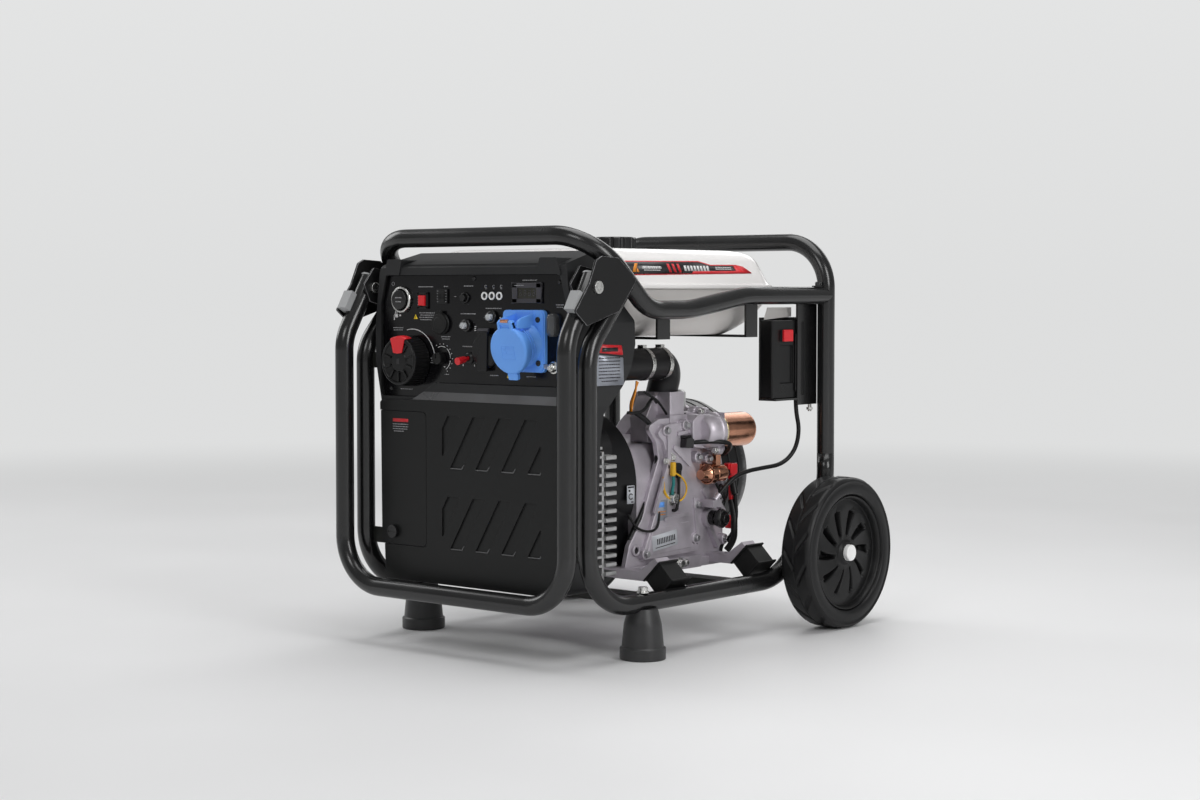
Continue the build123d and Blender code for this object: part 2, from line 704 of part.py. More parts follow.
# Industrial socket: a square flange, a leaning barrel and a round lid on a hinge above it
flange_w, flange_h, flange_t = 82.0, 90.0, 8.0
barrel_len = 27.0
barrel_lean = 12.0
cee_low = cee_z - 6
barrel_dir = (0, -math.cos(math.radians(barrel_lean)), -math.sin(math.radians(barrel_lean)))
barrel_root = (cee_x + 2, panel_face - flange_t + 1, cee_low)
barrel_tip = tuple(a + b * barrel_len for a, b in zip(barrel_root, barrel_dir))
lid_seat = tuple(a + b * (barrel_len + clear) for a, b in zip(barrel_root, barrel_dir))
lid_top = tuple(a + b * (barrel_len + clear + 9) for a, b in zip(barrel_root, barrel_dir))
barrel_r = 31.0
lid_r = 35.0
with BuildPart() as cee_socket:
    panel_box(cee_x, cee_z, flange_w, flange_h, flange_t)
    fillet(cee_socket.edges().filter_by(Axis.Y), 6)
    rod(barrel_root, barrel_tip, barrel_r)
    mouth = tuple(a + b * 6 for a, b in zip(barrel_root, barrel_dir))
    beyond = tuple(a + b * 60 for a, b in zip(barrel_root, barrel_dir))
    rod(mouth, beyond, barrel_r - 5, mode=Mode.SUBTRACT)
save(cee_socket.part, "cee_socket")

lid_plane = Plane(origin=lid_seat, x_dir=(1, 0, 0), z_dir=barrel_dir)
lid_up = lid_plane.y_dir if lid_plane.y_dir.Z > 0 else -lid_plane.y_dir
hinge_at = lid_plane.origin + lid_up * (lid_r + 5) + lid_plane.z_dir * 4
with BuildPart() as cee_lid:
    rod(lid_seat, lid_top, lid_r)
    fillet(cee_lid.edges().sort_by(Axis.Y)[0], 3)
    rod((hinge_at.X - 14, hinge_at.Y, hinge_at.Z), (hinge_at.X + 14, hinge_at.Y, hinge_at.Z), 4)
    bridge = Plane(origin=lid_plane.origin + lid_plane.z_dir * 0.2, x_dir=lid_plane.x_dir,
                   z_dir=lid_plane.z_dir)
    reach = lid_r + 5
    up_sign = 1 if lid_plane.y_dir.Z > 0 else -1
    with BuildSketch(bridge):
        with Locations((0, up_sign * reach / 2)):
            Rectangle(26, reach)
        with Locations((0, -up_sign * (reach + 3) / 2)):
            Rectangle(18, reach + 3)
    extrude(amount=6)
save(cee_lid.part, "cee_lid")

with BuildPart() as dome_cover:
    with BuildSketch(facing_front(dome_x, dome_z)):
        SlotCenterToCenter(16, 18, rotation=90)
    extrude(amount=12)
    fillet(dome_cover.faces().sort_by(Axis.Y)[0].edges(), 5)
save(dome_cover.part, "dome_cover")

# ---------------------------------------------------------------- fuel tank

tank_side = [
    (-158, tank_low_z), (122, tank_low_z), (140, tank_low_z + 14), (190, tank_lip_z - 30),
    (tank_rear_y, tank_lip_z - 6), (tank_rear_y, tank_lip_z + 4), (tank_rear_y - 26, tank_top_z - 14),
    (tank_rear_y - 46, tank_top_z), (-196, tank_top_z), (-214, tank_top_z - 12), (-223, tank_lip_z + 5),
    (-166, tank_lip_z - 52),
]
half_front = [
    (tank_half - 35, tank_low_z - 10), (tank_half - 8, tank_low_z + 20), (tank_half, tank_lip_z - 6),
    (tank_half, tank_lip_z + 4), (tank_half - 14, tank_top_z - 14), (tank_half - 44, tank_top_z + 7),
]
tank_front = half_front + [(-x, z) for x, z in reversed(half_front)]
tank_wall = 3.0
filler = (0.0, 20.0)
filler_r = 22.0
tank_outer = front_prism(260, tank_front, 520, 3)
tank_length = side_prism(-260, tank_side, 520, 3)
tank_inner = front_prism(260, inset(tank_front, 0, 540, tank_wall), 520, 2)
tank_hollow = side_prism(-260, inset(tank_side, 0, 540, tank_wall), 520, 2)
with BuildPart() as tank_core:
    add(tank_inner)
    add(tank_hollow, mode=Mode.INTERSECT)
with BuildPart() as fuel_tank:
    add(tank_outer)
    add(tank_length, mode=Mode.INTERSECT)
    rod((*filler, tank_top_z - 4), (*filler, tank_top_z + 10), filler_r + 4)
    add(tank_core.part, mode=Mode.SUBTRACT)
    rod((*filler, tank_top_z - 20), (*filler, tank_top_z + 20), filler_r, mode=Mode.SUBTRACT)
save(fuel_tank.part, "fuel_tank")

cap_r2 = cap_d / 2
with BuildPart() as fuel_cap:
    rod((*filler, tank_top_z + seat), (*filler, tank_top_z + 22), cap_r2)
    fillet(fuel_cap.faces().sort_by(Axis.Z)[-1].edges(), 4)
    rod((*filler, tank_top_z - 1), (*filler, tank_top_z + 10 + clear), filler_r + 4 + clear,
        mode=Mode.SUBTRACT)
    with BuildSketch(Plane(origin=(*filler, tank_top_z + 22), z_dir=(0, 0, 1))):
        with PolarLocations(cap_r2 + 2.5, 12):
            Circle(5)
    extrude(amount=-18, mode=Mode.SUBTRACT)
save(fuel_cap.part, "fuel_cap")

# Straps that carry the tank from the hoop's sides
strap_z = tank_low_z - 4
with BuildPart() as tank_brackets:
    for y in (-120.0, 100.0):
        side_z = hoop_side_z if y > 62 else hoop_low_z
        block((-frame_half + tube_r + seat, y - 15, strap_z),
              (frame_half - tube_r - seat, y + 15, strap_z + 3.6))
        for sign in (1, -1):
            low_x, high_x = sorted((sign * (frame_half - tube_r - seat),
                                   sign * (frame_half - tube_r - seat - 4)))
            block((low_x, y - 15, strap_z), (high_x, y + 15, side_z))
save(tank_brackets.part, "tank_brackets")

# ---------------------------------------------------------------- battery

plate_x = frame_half - tube_r - seat
battery_out = plate_x - 4 - seat
battery_in = battery_out - battery_w
battery_back = battery_y + battery_l
battery_top = battery_z + battery_h
lead_x, lead_y = battery_out - 9, battery_y + 78
with BuildPart() as battery:
    block((battery_in, battery_y, battery_z), (battery_out, battery_back, battery_top))
    fillet(battery.edges().filter_by(Axis.Z), 3)
    # the recessed terminal face, towards the outside
    block((battery_out - 3, battery_y + 22, battery_z + 24),
          (battery_out + 1, battery_y + 58, battery_top - 40),
          mode=Mode.SUBTRACT)
    block((battery_out - 4, battery_y + 24, battery_top - 34),
          (battery_out + 3, battery_y + 50, battery_top - 14))
save(battery.part, "battery")

shelf_t = 3.5
with BuildPart() as battery_tray:
    block((plate_x - 4, battery_y + 64, battery_z - 12), (plate_x, battery_back, hoop_side_z))
    block((battery_in - seat - 3, battery_y + 4, battery_z - seat - shelf_t),
          (plate_x, battery_back, battery_z - seat))
    block((battery_in - seat - 3, battery_y + 4, battery_z - seat - shelf_t),
          (battery_in - seat, battery_back, battery_top + 5))
    block((battery_in - seat - 3, battery_y + 64, battery_top + 1),
          (plate_x, battery_back, battery_top + 5))
    block((lead_x - 8, lead_y - 8, battery_z - 20), (lead_x + 8, lead_y + 8, battery_z), mode=Mode.SUBTRACT)
save(battery_tray.part, "battery_tray")

# The lead from the battery's lower face to the starter relay, a free cord with its own route
cord_d = 7.0
cord_points = [
    (lead_x, lead_y, battery_z), (lead_x, lead_y, 345), (198, 250, 314), (193, 246, 280), (184, 222, 258),
    (172, 186, 254), (163, 150, 250), (155, 120, 238), (148, 101, 216),
]


def cord_radii(points, share=0.45):
    """The largest arc that each corner of a cord's route has room for."""
    radii = []
    for a, b, c in zip(points, points[1:], points[2:]):
        before = Vector(*b) - Vector(*a)
        after = Vector(*c) - Vector(*b)
        turn = math.radians(before.get_angle(after))
        radii.append(share * min(before.length, after.length) / math.tan(turn / 2))
    return radii


radii = cord_radii(cord_points)
print("battery cable radii", [round(r, 1) for r in radii])
cable = bent_tube(cord_points, radii, cord_d, 0)
with BuildLine() as cable_line:
    FilletPolyline(*cord_points, radius=radii)
cable_length = sum(edge.length for edge in cable_line.edges())
section = math.pi * cord_d ** 2 / 4
print("battery cable length", round(cable_length, 1), "volume ratio",
      round(cable.volume / section / cable_length, 4))
save(cable, "battery_cable")

# ---------------------------------------------------------------- engine

# Each rubber mount leans at 45 degrees against its side tube, and a foot of the case rests on it
rubber_h = 32.0
mount_plate = 3.0
mount_w, mount_l = 44.0, 46.0
diagonal = math.sqrt(0.5)


def tube_rise(y):
    """How far the bottom tube has risen at y, in its rear bend."""
    start = heel[0] - heel_bend * math.tan(math.atan2(heel_top[1] - heel[1], heel_top[0] - heel[0]) / 2)
    return max(0.0, y - start) ** 2 / (2 * heel_bend)


mounts = [(y, diagonal * tube_rise(y + mount_l / 2) * math.sqrt(2)) for y in (mount_front_y, mount_rear_y)]
stack = rubber_h + 2 * mount_plate
mount_out = tube_r + weld_gap + stack / 2
mount_x = frame_half - diagonal * mount_out
mount_z = bottom_z + diagonal * mount_out
ramp = bottom_z - frame_half + (tube_r + weld_gap + stack + seat) / diagonal
foot_outline = [
    (case_half - 2, ramp + 171), (171, ramp + 171), (199, ramp + 199), (191, ramp + 207), (160, ramp + 185),
    (case_half - 2, ramp + 185),
]
lead_end = cord_points[-1]
lead_run = (Vector(*cord_points[-1]) - Vector(*cord_points[-2])).normalized()
ferrule_end = tuple(Vector(*lead_end) + lead_run * 12)
case_outline = [
    (-case_half, case_low_z), (case_half, case_low_z), (case_half, 250), (case_half - 22, case_top_z),
    (-case_half + 22, case_top_z), (-case_half, 250),
]
bearing_r = shaft_d / 2 + shaft_fit
with BuildPart() as crankcase:
    add(front_prism(case_back, case_outline, case_back - case_front, 12))
    # mounting flange with a foot towards each rubber mount
    block((-case_half - 14, mount_front_y - 15, case_low_z - 10),
          (case_half + 14, case_back, case_low_z + 4))
    for sign in (1, -1):
        for y, lift in mounts:
            reach = [(sign * x, z + lift) for x, z in foot_outline]
            add(front_prism(y + 15, reach, 30))
    rod(lead_end, ferrule_end, cord_d / 2 + 1.5)
    # side cover with the oil filler, starter flange, carburettor pad and the boss for the battery lead
    rod((case_half - 5, 45, 190), (case_half + 12, 45, 190), 62)
    rod((case_half - 5, 20, 262), (case_half + 12, 20, 262), 9)
    rod((case_half - 2, 100, 178), (case_half + 22, 100, 178), 15)
    block((case_half - 30, 62, 286), (case_half + 44, 104, 346))
    block((40, 10, case_top_z - 4), (120, 54, 344))
    block((case_half - 2, 82, 196), (lead_end[0] + 3, 104, 208))
    block((-case_half + case_wall, case_front + case_wall, case_low_z + case_wall),
          (case_half - case_wall, case_back - case_wall, 240), mode=Mode.SUBTRACT)
    block((-70, case_front + case_wall, 230), (70, case_back - case_wall, case_top_z - case_wall),
          mode=Mode.SUBTRACT)
    rod((0, case_front - 5, crank_z), (0, case_back + 5, crank_z), bearing_r, mode=Mode.SUBTRACT)
    rod((case_half, 100, 178), (case_half + 30, 100, 178), 8 + clear, mode=Mode.SUBTRACT)
save(crankcase.part, "crankcase")

# Finned cylinder and head, leaning over the left side of the case
bore_tilt = 40.0
bore_dir = Vector(-math.cos(math.radians(bore_tilt)), 0, math.sin(math.radians(bore_tilt)))
bore_start = Vector(-48, 45, 240)
bore_plane = Plane(origin=bore_start, x_dir=(0, 1, 0), z_dir=bore_dir)
fin_pitch = 9.0
with BuildPart() as cylinder_head:
    with BuildSketch(bore_plane):
        RectangleRounded(74, 70, 8)
    extrude(amount=146)
    for step in range(9):
        with BuildSketch(bore_plane.offset(52 + step * fin_pitch)):
            RectangleRounded(98, 90, 6)
        extrude(amount=3)
    with BuildSketch(bore_plane.offset(134)):
        RectangleRounded(82, 66, 8)
    extrude(amount=18)
    add(front_prism(case_back + 1, [(x * 1.003, z + (0.3 if z > 200 else 0)) for x, z in case_outline],
                    case_back - case_front + 2, 12), mode=Mode.SUBTRACT)
    with BuildSketch(bore_plane):
        Circle(30)
    extrude(amount=120, mode=Mode.SUBTRACT)
save(cylinder_head.part, "cylinder_head")

# Black shroud over the front of the engine, with a conical boss and a foot that reaches down
shroud_front = -128.0
boss_x, boss_z = 62.0, 293.0
with BuildPart() as engine_shroud:
    cone((0, case_front - seat, crank_z), (0, shroud_front, crank_z), 112, 96)
    block((-96, shroud_front + 16, 118), (96, case_front - seat, crank_z))
    cone((boss_x, shroud_front + 20, boss_z), (boss_x, shroud_front - 34, boss_z), 40, 22)
    cone((0, case_front + 1, crank_z), (0, shroud_front + 5, crank_z), 107, 91, mode=Mode.SUBTRACT)
    block((-91, shroud_front + 21, 110), (91, case_front + 1, crank_z), mode=Mode.SUBTRACT)
    cone((boss_x, shroud_front + 25, boss_z), (boss_x, shroud_front - 30, boss_z), 34, 17,
         mode=Mode.SUBTRACT)
save(engine_shroud.part, "engine_shroud")

# Generator: the wound stator is bolted to the case, and the magnet rotor turns round it as the flywheel
stator_r = 62.0
rotor_r = rotor_d / 2
with BuildPart() as alternator:
    rod((0, case_back + seat, crank_z), (0, case_back + 52, crank_z), stator_r)
    with BuildSketch(Plane(origin=(0, case_back + 8, crank_z), x_dir=(1, 0, 0), z_dir=(0, 1, 0))):
        with PolarLocations(stator_r - 8, 18):
            Rectangle(22, 7, align=(Align.CENTER, Align.CENTER))
    extrude(amount=60, mode=Mode.SUBTRACT)
    rod((0, case_back - 5, crank_z), (0, case_back + 60, crank_z), shaft_d / 2 + 4, mode=Mode.SUBTRACT)
save(alternator.part, "alternator")

shaft_end = fan_cover_back - 14
with BuildPart() as crankshaft:
    rod((0, case_front - 20, crank_z), (0, shaft_end, crank_z), shaft_d / 2)
    for y in (22.0, 62.0):
        rod((0, y - 8, crank_z), (0, y + 8, crank_z), 36)
    rod((0, 20, crank_z + 22), (0, 64, crank_z + 22), 16)
    rod((0, case_back + 66, crank_z), (0, case_back + 70, crank_z), shaft_d / 2 + 7)
save(crankshaft.part, "crankshaft")

with BuildPart() as flywheel:
    rod((0, case_back + 10, crank_z), (0, case_back + 64, crank_z), rotor_r - 14)
    rod((0, case_back + 5, crank_z), (0, case_back + 57, crank_z), stator_r + 1.5, mode=Mode.SUBTRACT)
    with BuildSketch(Plane(origin=(0, case_back + 64, crank_z), x_dir=(1, 0, 0), z_dir=(0, 1, 0))):
        with PolarLocations(56, 14):
            Rectangle(44, 2.4)
    extrude(amount=22)
    rod((0, case_back, crank_z), (0, case_back + 100, crank_z), shaft_d / 2, mode=Mode.SUBTRACT)
    rod((0, case_back + 64, crank_z), (0, case_back + 100, crank_z), shaft_d / 2 + 8, mode=Mode.SUBTRACT)
save(flywheel.part, "flywheel")

fan_r = fan_cover_d / 2
cover_start = case_back + seat
cover_profile = [
    (fan_r - 4, 0), (fan_r, 4), (fan_r, 52), (fan_r - 10, 78), (fan_r - 34,
     fan_cover_back - cover_start - 6),
    (fan_r - 60, fan_cover_back - cover_start), (30, fan_cover_back - cover_start),
    (30, fan_cover_back - cover_start - 4), (fan_r - 61, fan_cover_back - cover_start - 4),
    (fan_r - 37, fan_cover_back - cover_start - 10), (fan_r - 14, 76), (fan_r - 4, 51),
]
with BuildPart() as flywheel_cover:
    add(turned(Plane(origin=(0, cover_start, crank_z), x_dir=(1, 0, 0), z_dir=(0, 1, 0)), cover_profile))
    with BuildSketch(Plane(origin=(0, fan_cover_back - 8, crank_z), x_dir=(1, 0, 0), z_dir=(0, 1, 0))):
        with PolarLocations(46, 20):
            Rectangle(22, 5)
    extrude(amount=12, mode=Mode.SUBTRACT)
save(flywheel_cover.part, "flywheel_cover")

# Starter motor beside the case, with its relay below
starter_x, starter_z, starter_r = 134.0, 316.0, 28.0
relay_x, relay_z = 134.0, 248.0
with BuildPart() as starter_motor:
    rod((starter_x, 104 + seat, starter_z), (starter_x, 186, starter_z), starter_r)
    fillet(starter_motor.faces().sort_by(Axis.Y)[-1].edges(), 7)
    rod((relay_x, 84, relay_z), (relay_x, 128, relay_z), 13.5)
    rod((relay_x, 128, relay_z), (relay_x, 136, relay_z), 5)
    block((case_half + seat, 88, relay_z - 9), (relay_x, 96, relay_z + 9))
    block((relay_x - 4, 106, relay_z + 8), (relay_x + 4, 118, starter_z - 20))
save(starter_motor.part, "starter_motor")

with BuildPart() as oil_cap:
    rod((case_half + 22 + clear, 100, 178), (case_half + 32, 100, 178), 12)
    rod((case_half + 4, 100, 178), (case_half + 30, 100, 178), 8)
    block((case_half + 30, 90, 176), (case_half + 37, 110, 180))
save(oil_cap.part, "oil_cap")

# Carburettor on its pad, and the hose that brings it air from the filter in the housing
carb_top = hose_z - 34
with BuildPart() as carburettor:
    block((50, 14, 344 + seat), (118, 50, 380))
    rod((84, 32, 372), (84, 32, carb_top), 20)
    rod((40, 32, 362), (50, 32, 362), 17)
    fillet(carburettor.edges().filter_by(Axis.Z), 3)
save(carburettor.part, "carburettor")

filter_front = -252.0
filter_back = -200.0
with BuildPart() as air_filter:
    block((44, filter_front, 404), (156, filter_back, 472))
    fillet(air_filter.edges().filter_by(Axis.Y), 8)
    rod((hose_x, filter_back - 2, hose_z), (hose_x, filter_back + 36, hose_z), hose_d / 2 - 3)
save(air_filter.part, "air_filter")

hose_route = [(hose_x, filter_back + 12, hose_z), (hose_x, 32, hose_z), (84, 32, carb_top - 18)]
tube = bent_tube(hose_route, 30, hose_d, 2.8)
with BuildPart() as intake_hose:
    add(tube)
    rod((hose_x, filter_back, hose_z), (hose_x, filter_back + 36.5, hose_z), hose_d / 2 - 3 + 0.1,
        mode=Mode.SUBTRACT)
    rod((84, 32, 340), (84, 32, carb_top + 0.3), 20.2, mode=Mode.SUBTRACT)
    block((0, -60, 300), (200, 60, 380.3), mode=Mode.SUBTRACT)
save(intake_hose.part, "intake_hose")

# Silencer on the left, ahead of the cylinder, with its pipe
with BuildPart() as muffler:
    block((-190, -158, 318), (-78, -36, 442))
    fillet(muffler.edges(), 12)
    rod((-134, -40, 350), (-134, 45 - 49 - seat, 350), 15)
    rod((-170, -158, 400), (-170, -176, 400), 11)
save(muffler.part, "muffler")

with BuildPart() as engine_mounts:
    for sign in (1, -1):
        for y, lift in mounts:
            tilt = Plane(origin=(sign * mount_x, y, mount_z + lift), x_dir=(0, 1, 0), z_dir=(-sign, 0, 1))
            with BuildSketch(tilt.offset(-rubber_h / 2)):
                Rectangle(mount_l - 6, mount_w - 6)
            extrude(amount=rubber_h)
            for depth in (-rubber_h / 2 - mount_plate, rubber_h / 2):
                with BuildSketch(tilt.offset(depth)):
                    Rectangle(mount_l, mount_w)
                extrude(amount=mount_plate)
save(engine_mounts.part, "engine_mounts")

# Inverter: a potted box in the housing with a finned aluminium back
fin_back = -211.0
inverter_half = bottom_half - 8 - seat
with BuildPart() as inverter:
    block((-inverter_half, housing_back - 40, housing_low_z + 8 + seat),
          (inverter_half, housing_back + 4, 320 - seat))
    for step in range(15):
        z = 118 + step * 13.4
        block((-inverter_half, housing_back + 4, z), (inverter_half, fin_back, z + 4))
save(inverter.part, "inverter")

# Leads and boots on the right of the engine, each held at both ends
wire_d = 6.0
earth_y, earth_z = 20.0, 262.0
starter_lead = [(145, 147, 212), (147, 149, 178), (140, 148, 148), (122, 143, 132),
                (119, 142, case_low_z + 4)]
earth_lead = [
    (130, earth_y, earth_z - 16), (132, earth_y - 2, 230), (134, earth_y - 6, 210),
    (133, earth_y - 10, 196),
    (case_half + 12, earth_y - 10, 196),
]
with BuildPart() as wiring:
    rod((relay_x, 136 + seat, relay_z), (relay_x, 158, relay_z), 6.5)
    rod((relay_x, 150, relay_z), starter_lead[0], 6)
    add(bent_tube(starter_lead, cord_radii(starter_lead), wire_d, 0))
    rod((case_half + 12 + seat, earth_y, earth_z), (case_half + 19, earth_y, earth_z), 8)
    rod((earth_lead[0][0], earth_y, earth_z - 4), earth_lead[0], 4.5)
    add(bent_tube(earth_lead, cord_radii(earth_lead), 5, 0))
save(wiring.part, "wiring")

# ---------------------------------------------------------------- bolts and screws

with BuildPart() as frame_bolts:
    for sign in (1, -1):
        ends = [sign * (plate_in - plate_t - 6), sign * (plate_out + plate_t + 4)]
        rod((ends[0], pivot_y, pivot_z), (ends[1], pivot_y, pivot_z), pin_r)
        rod((sign * (plate_out + plate_t), pivot_y, pivot_z),
            (sign * (plate_out + plate_t + 5), pivot_y, pivot_z), 9)
        rod((sign * (plate_in - plate_t), pivot_y, pivot_z),
            (sign * (plate_in - plate_t - 6), pivot_y, pivot_z), 8)
        x = sign * frame_half
        rod((x, foot_y, bottom_z + tube_r), (x, foot_y, bottom_z + tube_r + 3), 9)
        rod((x, foot_y, bottom_z + tube_r + 3), (x, foot_y, bottom_z + tube_r + 9), 7)
save(frame_bolts.part, "frame_bolts")

print("handle pivot", pivot_y, pivot_z, "lid hinge", [round(v, 2) for v in hinge_at], "cap hinge",
      cap_hinge_z)
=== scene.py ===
import json
import math
import random

import bmesh
import bpy
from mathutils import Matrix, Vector


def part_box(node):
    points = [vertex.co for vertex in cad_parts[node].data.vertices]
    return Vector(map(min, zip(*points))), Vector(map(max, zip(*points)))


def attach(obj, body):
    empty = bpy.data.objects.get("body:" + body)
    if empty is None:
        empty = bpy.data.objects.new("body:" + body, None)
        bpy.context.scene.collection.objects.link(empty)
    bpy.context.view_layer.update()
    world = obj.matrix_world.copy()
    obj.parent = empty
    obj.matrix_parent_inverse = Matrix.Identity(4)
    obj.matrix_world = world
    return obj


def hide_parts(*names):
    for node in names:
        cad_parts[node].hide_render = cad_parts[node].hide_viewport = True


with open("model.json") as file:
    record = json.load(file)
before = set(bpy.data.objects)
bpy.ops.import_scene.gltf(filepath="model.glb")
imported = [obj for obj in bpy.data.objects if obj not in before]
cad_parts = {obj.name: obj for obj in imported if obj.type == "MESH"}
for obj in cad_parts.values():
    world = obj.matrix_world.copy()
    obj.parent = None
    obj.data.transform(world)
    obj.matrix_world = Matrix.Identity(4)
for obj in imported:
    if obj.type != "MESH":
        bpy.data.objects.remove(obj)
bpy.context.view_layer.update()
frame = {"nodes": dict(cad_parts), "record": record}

# The script's own lengths are millimetres, and this turns them into Blender's metres.
MM = 0.001

# ---------------------------------------------------------------- camera, lights and floor

camera = bpy.data.objects.new("camera", bpy.data.cameras.new("camera"))
bpy.context.scene.collection.objects.link(camera)
camera.location = (2.18933, -2.59394, 0.53587)
camera.rotation_euler = (math.radians(90 - 2.42), 0, math.radians(40.35))
camera.data.sensor_width = 36
camera.data.lens = 64.03
camera.data.shift_y = -0.0145
bpy.context.scene.camera = camera


def area_light(name, place, target, size, watts, tint=(1, 1, 1)):
    """A soft box at a place, facing a target."""
    light = bpy.data.lights.new(name, "AREA")
    light.shape = "RECTANGLE"
    light.size, light.size_y = size
    light.energy = watts
    light.color = tint
    lamp = bpy.data.objects.new(name, light)
    bpy.context.scene.collection.objects.link(lamp)
    lamp.location = place
    lamp.rotation_euler = (Vector(target) - Vector(place)).to_track_quat("-Z", "Y").to_euler()


middle = (0, 0, 0.35)
area_light("overhead", (0.1, 0.2, 2.6), (0, 0, 0), (2.4, 1.8), 36)
area_light("left_side", (-3.0, -0.5, 1.9), middle, (1.5, 1.9), 28)
area_light("right_side", (3.2, -0.7, 1.7), middle, (1.0, 1.9), 40)
area_light("front_fill", (0.8, -3.2, 2.3), middle, (1.2, 1.0), 16)
area_light("behind", (-0.9, 3.0, 1.9), middle, (2.4, 1.2), 16)

# The backdrop brightens upwards, and the far floor takes its lowest tone, so that no edge shows.
# The room lights the object less than the backdrop looks,
# as in a studio with a dark side behind the camera.
horizon_tone = (0.73, 0.735, 0.735, 1)
upper_tone = (0.79, 0.795, 0.795, 1)
room_light = 0.36
world = bpy.data.worlds.new("studio")
world.use_nodes = True
backdrop = world.node_tree.nodes["Background"]
direction = world.node_tree.nodes.new("ShaderNodeTexCoord")
parts = world.node_tree.nodes.new("ShaderNodeSeparateXYZ")
rise = world.node_tree.nodes.new("ShaderNodeMapRange")
rise.inputs["From Max"].default_value = 0.2
blend = world.node_tree.nodes.new("ShaderNodeMix")
blend.data_type = "RGBA"
blend.inputs["A"].default_value = horizon_tone
blend.inputs["B"].default_value = upper_tone
rays = world.node_tree.nodes.new("ShaderNodeLightPath")
share = world.node_tree.nodes.new("ShaderNodeMapRange")
share.inputs["To Min"].default_value = room_light
share.inputs["To Max"].default_value = 1.0
world.node_tree.links.new(direction.outputs["Generated"], parts.inputs["Vector"])
world.node_tree.links.new(parts.outputs["Z"], rise.inputs["Value"])
world.node_tree.links.new(rise.outputs["Result"], blend.inputs["Factor"])
world.node_tree.links.new(blend.outputs["Result"], backdrop.inputs["Color"])
world.node_tree.links.new(rays.outputs["Is Camera Ray"], share.inputs["Value"])
world.node_tree.links.new(share.outputs["Result"], backdrop.inputs["Strength"])
bpy.context.scene.world = world
bpy.context.scene.view_settings.view_transform = "Standard"

# ---------------------------------------------------------------- materials


def surface(name, colour, rough, metal=0.0, tone=0.14, patch=14.0, grain=700.0, depth=0.02, strength=0.35,
            sweep=0.05, coat=0.0, stretch=None, **sockets):
    """A surface with patches of tone, uneven gloss and a fine grain. depth is in millimetres."""
    made = bpy.data.materials.new(name)
    made.use_nodes = True
    nodes, links = made.node_tree.nodes, made.node_tree.links
    shader = nodes["Principled BSDF"]
    place = nodes.new("ShaderNodeTexCoord").outputs["Object"]
    if stretch:
        mapping = nodes.new("ShaderNodeMapping")
        mapping.inputs["Scale"].default_value = stretch
        links.new(place, mapping.inputs["Vector"])
        place = mapping.outputs["Vector"]
    blotch = nodes.new("ShaderNodeTexNoise")
    blotch.inputs["Scale"].default_value = patch
    blotch.inputs["Detail"].default_value = 5
    links.new(place, blotch.inputs["Vector"])
    ramp = nodes.new("ShaderNodeValToRGB")
    low, high = ramp.color_ramp.elements
    low.position, high.position = 0.3, 0.7
    low.color = [c * (1 - tone) for c in colour] + [1]
    high.color = [min(1, c * (1 + tone)) for c in colour] + [1]
    links.new(blotch.outputs["Fac"], ramp.inputs["Fac"])
    links.new(ramp.outputs["Color"], shader.inputs["Base Color"])
    gloss = nodes.new("ShaderNodeMapRange")
    gloss.inputs["From Min"].default_value = 0.3
    gloss.inputs["From Max"].default_value = 0.7
    gloss.inputs["To Min"].default_value = max(0.03, rough - sweep)
    gloss.inputs["To Max"].default_value = min(1, rough + sweep)
    links.new(blotch.outputs["Fac"], gloss.inputs["Value"])
    links.new(gloss.outputs["Result"], shader.inputs["Roughness"])
    fine = nodes.new("ShaderNodeTexNoise")
    fine.inputs["Scale"].default_value = grain
    fine.inputs["Detail"].default_value = 3
    links.new(place, fine.inputs["Vector"])
    bump = nodes.new("ShaderNodeBump")
    bump.inputs["Strength"].default_value = strength
    bump.inputs["Distance"].default_value = depth * MM
    links.new(fine.outputs["Fac"], bump.inputs["Height"])
    links.new(bump.outputs["Normal"], shader.inputs["Normal"])
    shader.inputs["Metallic"].default_value = metal
    shader.inputs["Coat Weight"].default_value = coat
    shader.inputs["Coat Roughness"].default_value = 0.08
    for socket, value in sockets.items():
        shader.inputs[socket.replace("_", " ")].default_value = value
    return made


powder = surface("powder_black", (0.0065, 0.0065, 0.0068), 0.23, grain=900, depth=0.04, strength=0.25,
                 Specular_IOR_Level=0.65)
bracket_black = surface("bracket_black", (0.00682, 0.00682, 0.00713), 0.4, grain=900, depth=0.04,
                        Specular_IOR_Level=0.3)
# Bright metal for bevel faces: worn edges, and also a painted highlight along the edges.
edge_wear_and_highlight = surface("worn_edge_and_painted_highlight", (0.3, 0.3, 0.31), 0.35, metal=0.8, patch=160, tone=0.6)
bed_black = surface("bed_paint", (0.01116, 0.01147, 0.00992), 0.42, grain=700, depth=0.05,
                    Specular_IOR_Level=0.3)
stop_grey = surface("stop_grey", (0.33, 0.335, 0.34), 0.5, grain=500, depth=0.05, tone=0.08)
tyre_black = surface("tyre_rubber", (0.009, 0.009, 0.0095), 0.4, grain=520, depth=0.08, patch=30,
                     Specular_IOR_Level=0.3)
rim_black = surface("rim_plastic", (0.00837, 0.00837, 0.00868), 0.4, grain=600, depth=0.04,
                    Specular_IOR_Level=0.3)
cap_white = surface("cap_white", (0.93, 0.93, 0.92), 0.35, tone=0.03, grain=300, depth=0.01)
zinc = surface("zinc_plate", (0.68, 0.68, 0.66), 0.28, metal=1.0, patch=220, tone=0.2, grain=1500,
               depth=0.02)
foot_rubber = surface("foot_rubber", (0.03, 0.03, 0.031), 0.4, grain=420, depth=0.06, patch=30)
shell_grey = surface("shell_plastic", (0.0186, 0.01891, 0.01984), 0.42, grain=1100, depth=0.06,
                     strength=0.4, Specular_IOR_Level=0.3)
# The ledge is the housing's dark plastic. Its light grey colour is a painted highlight on the sloped band.
ledge_painted_highlight = surface("ledge_plastic_painted_highlight", (0.11, 0.11, 0.113), 0.3, grain=900, depth=0.03)
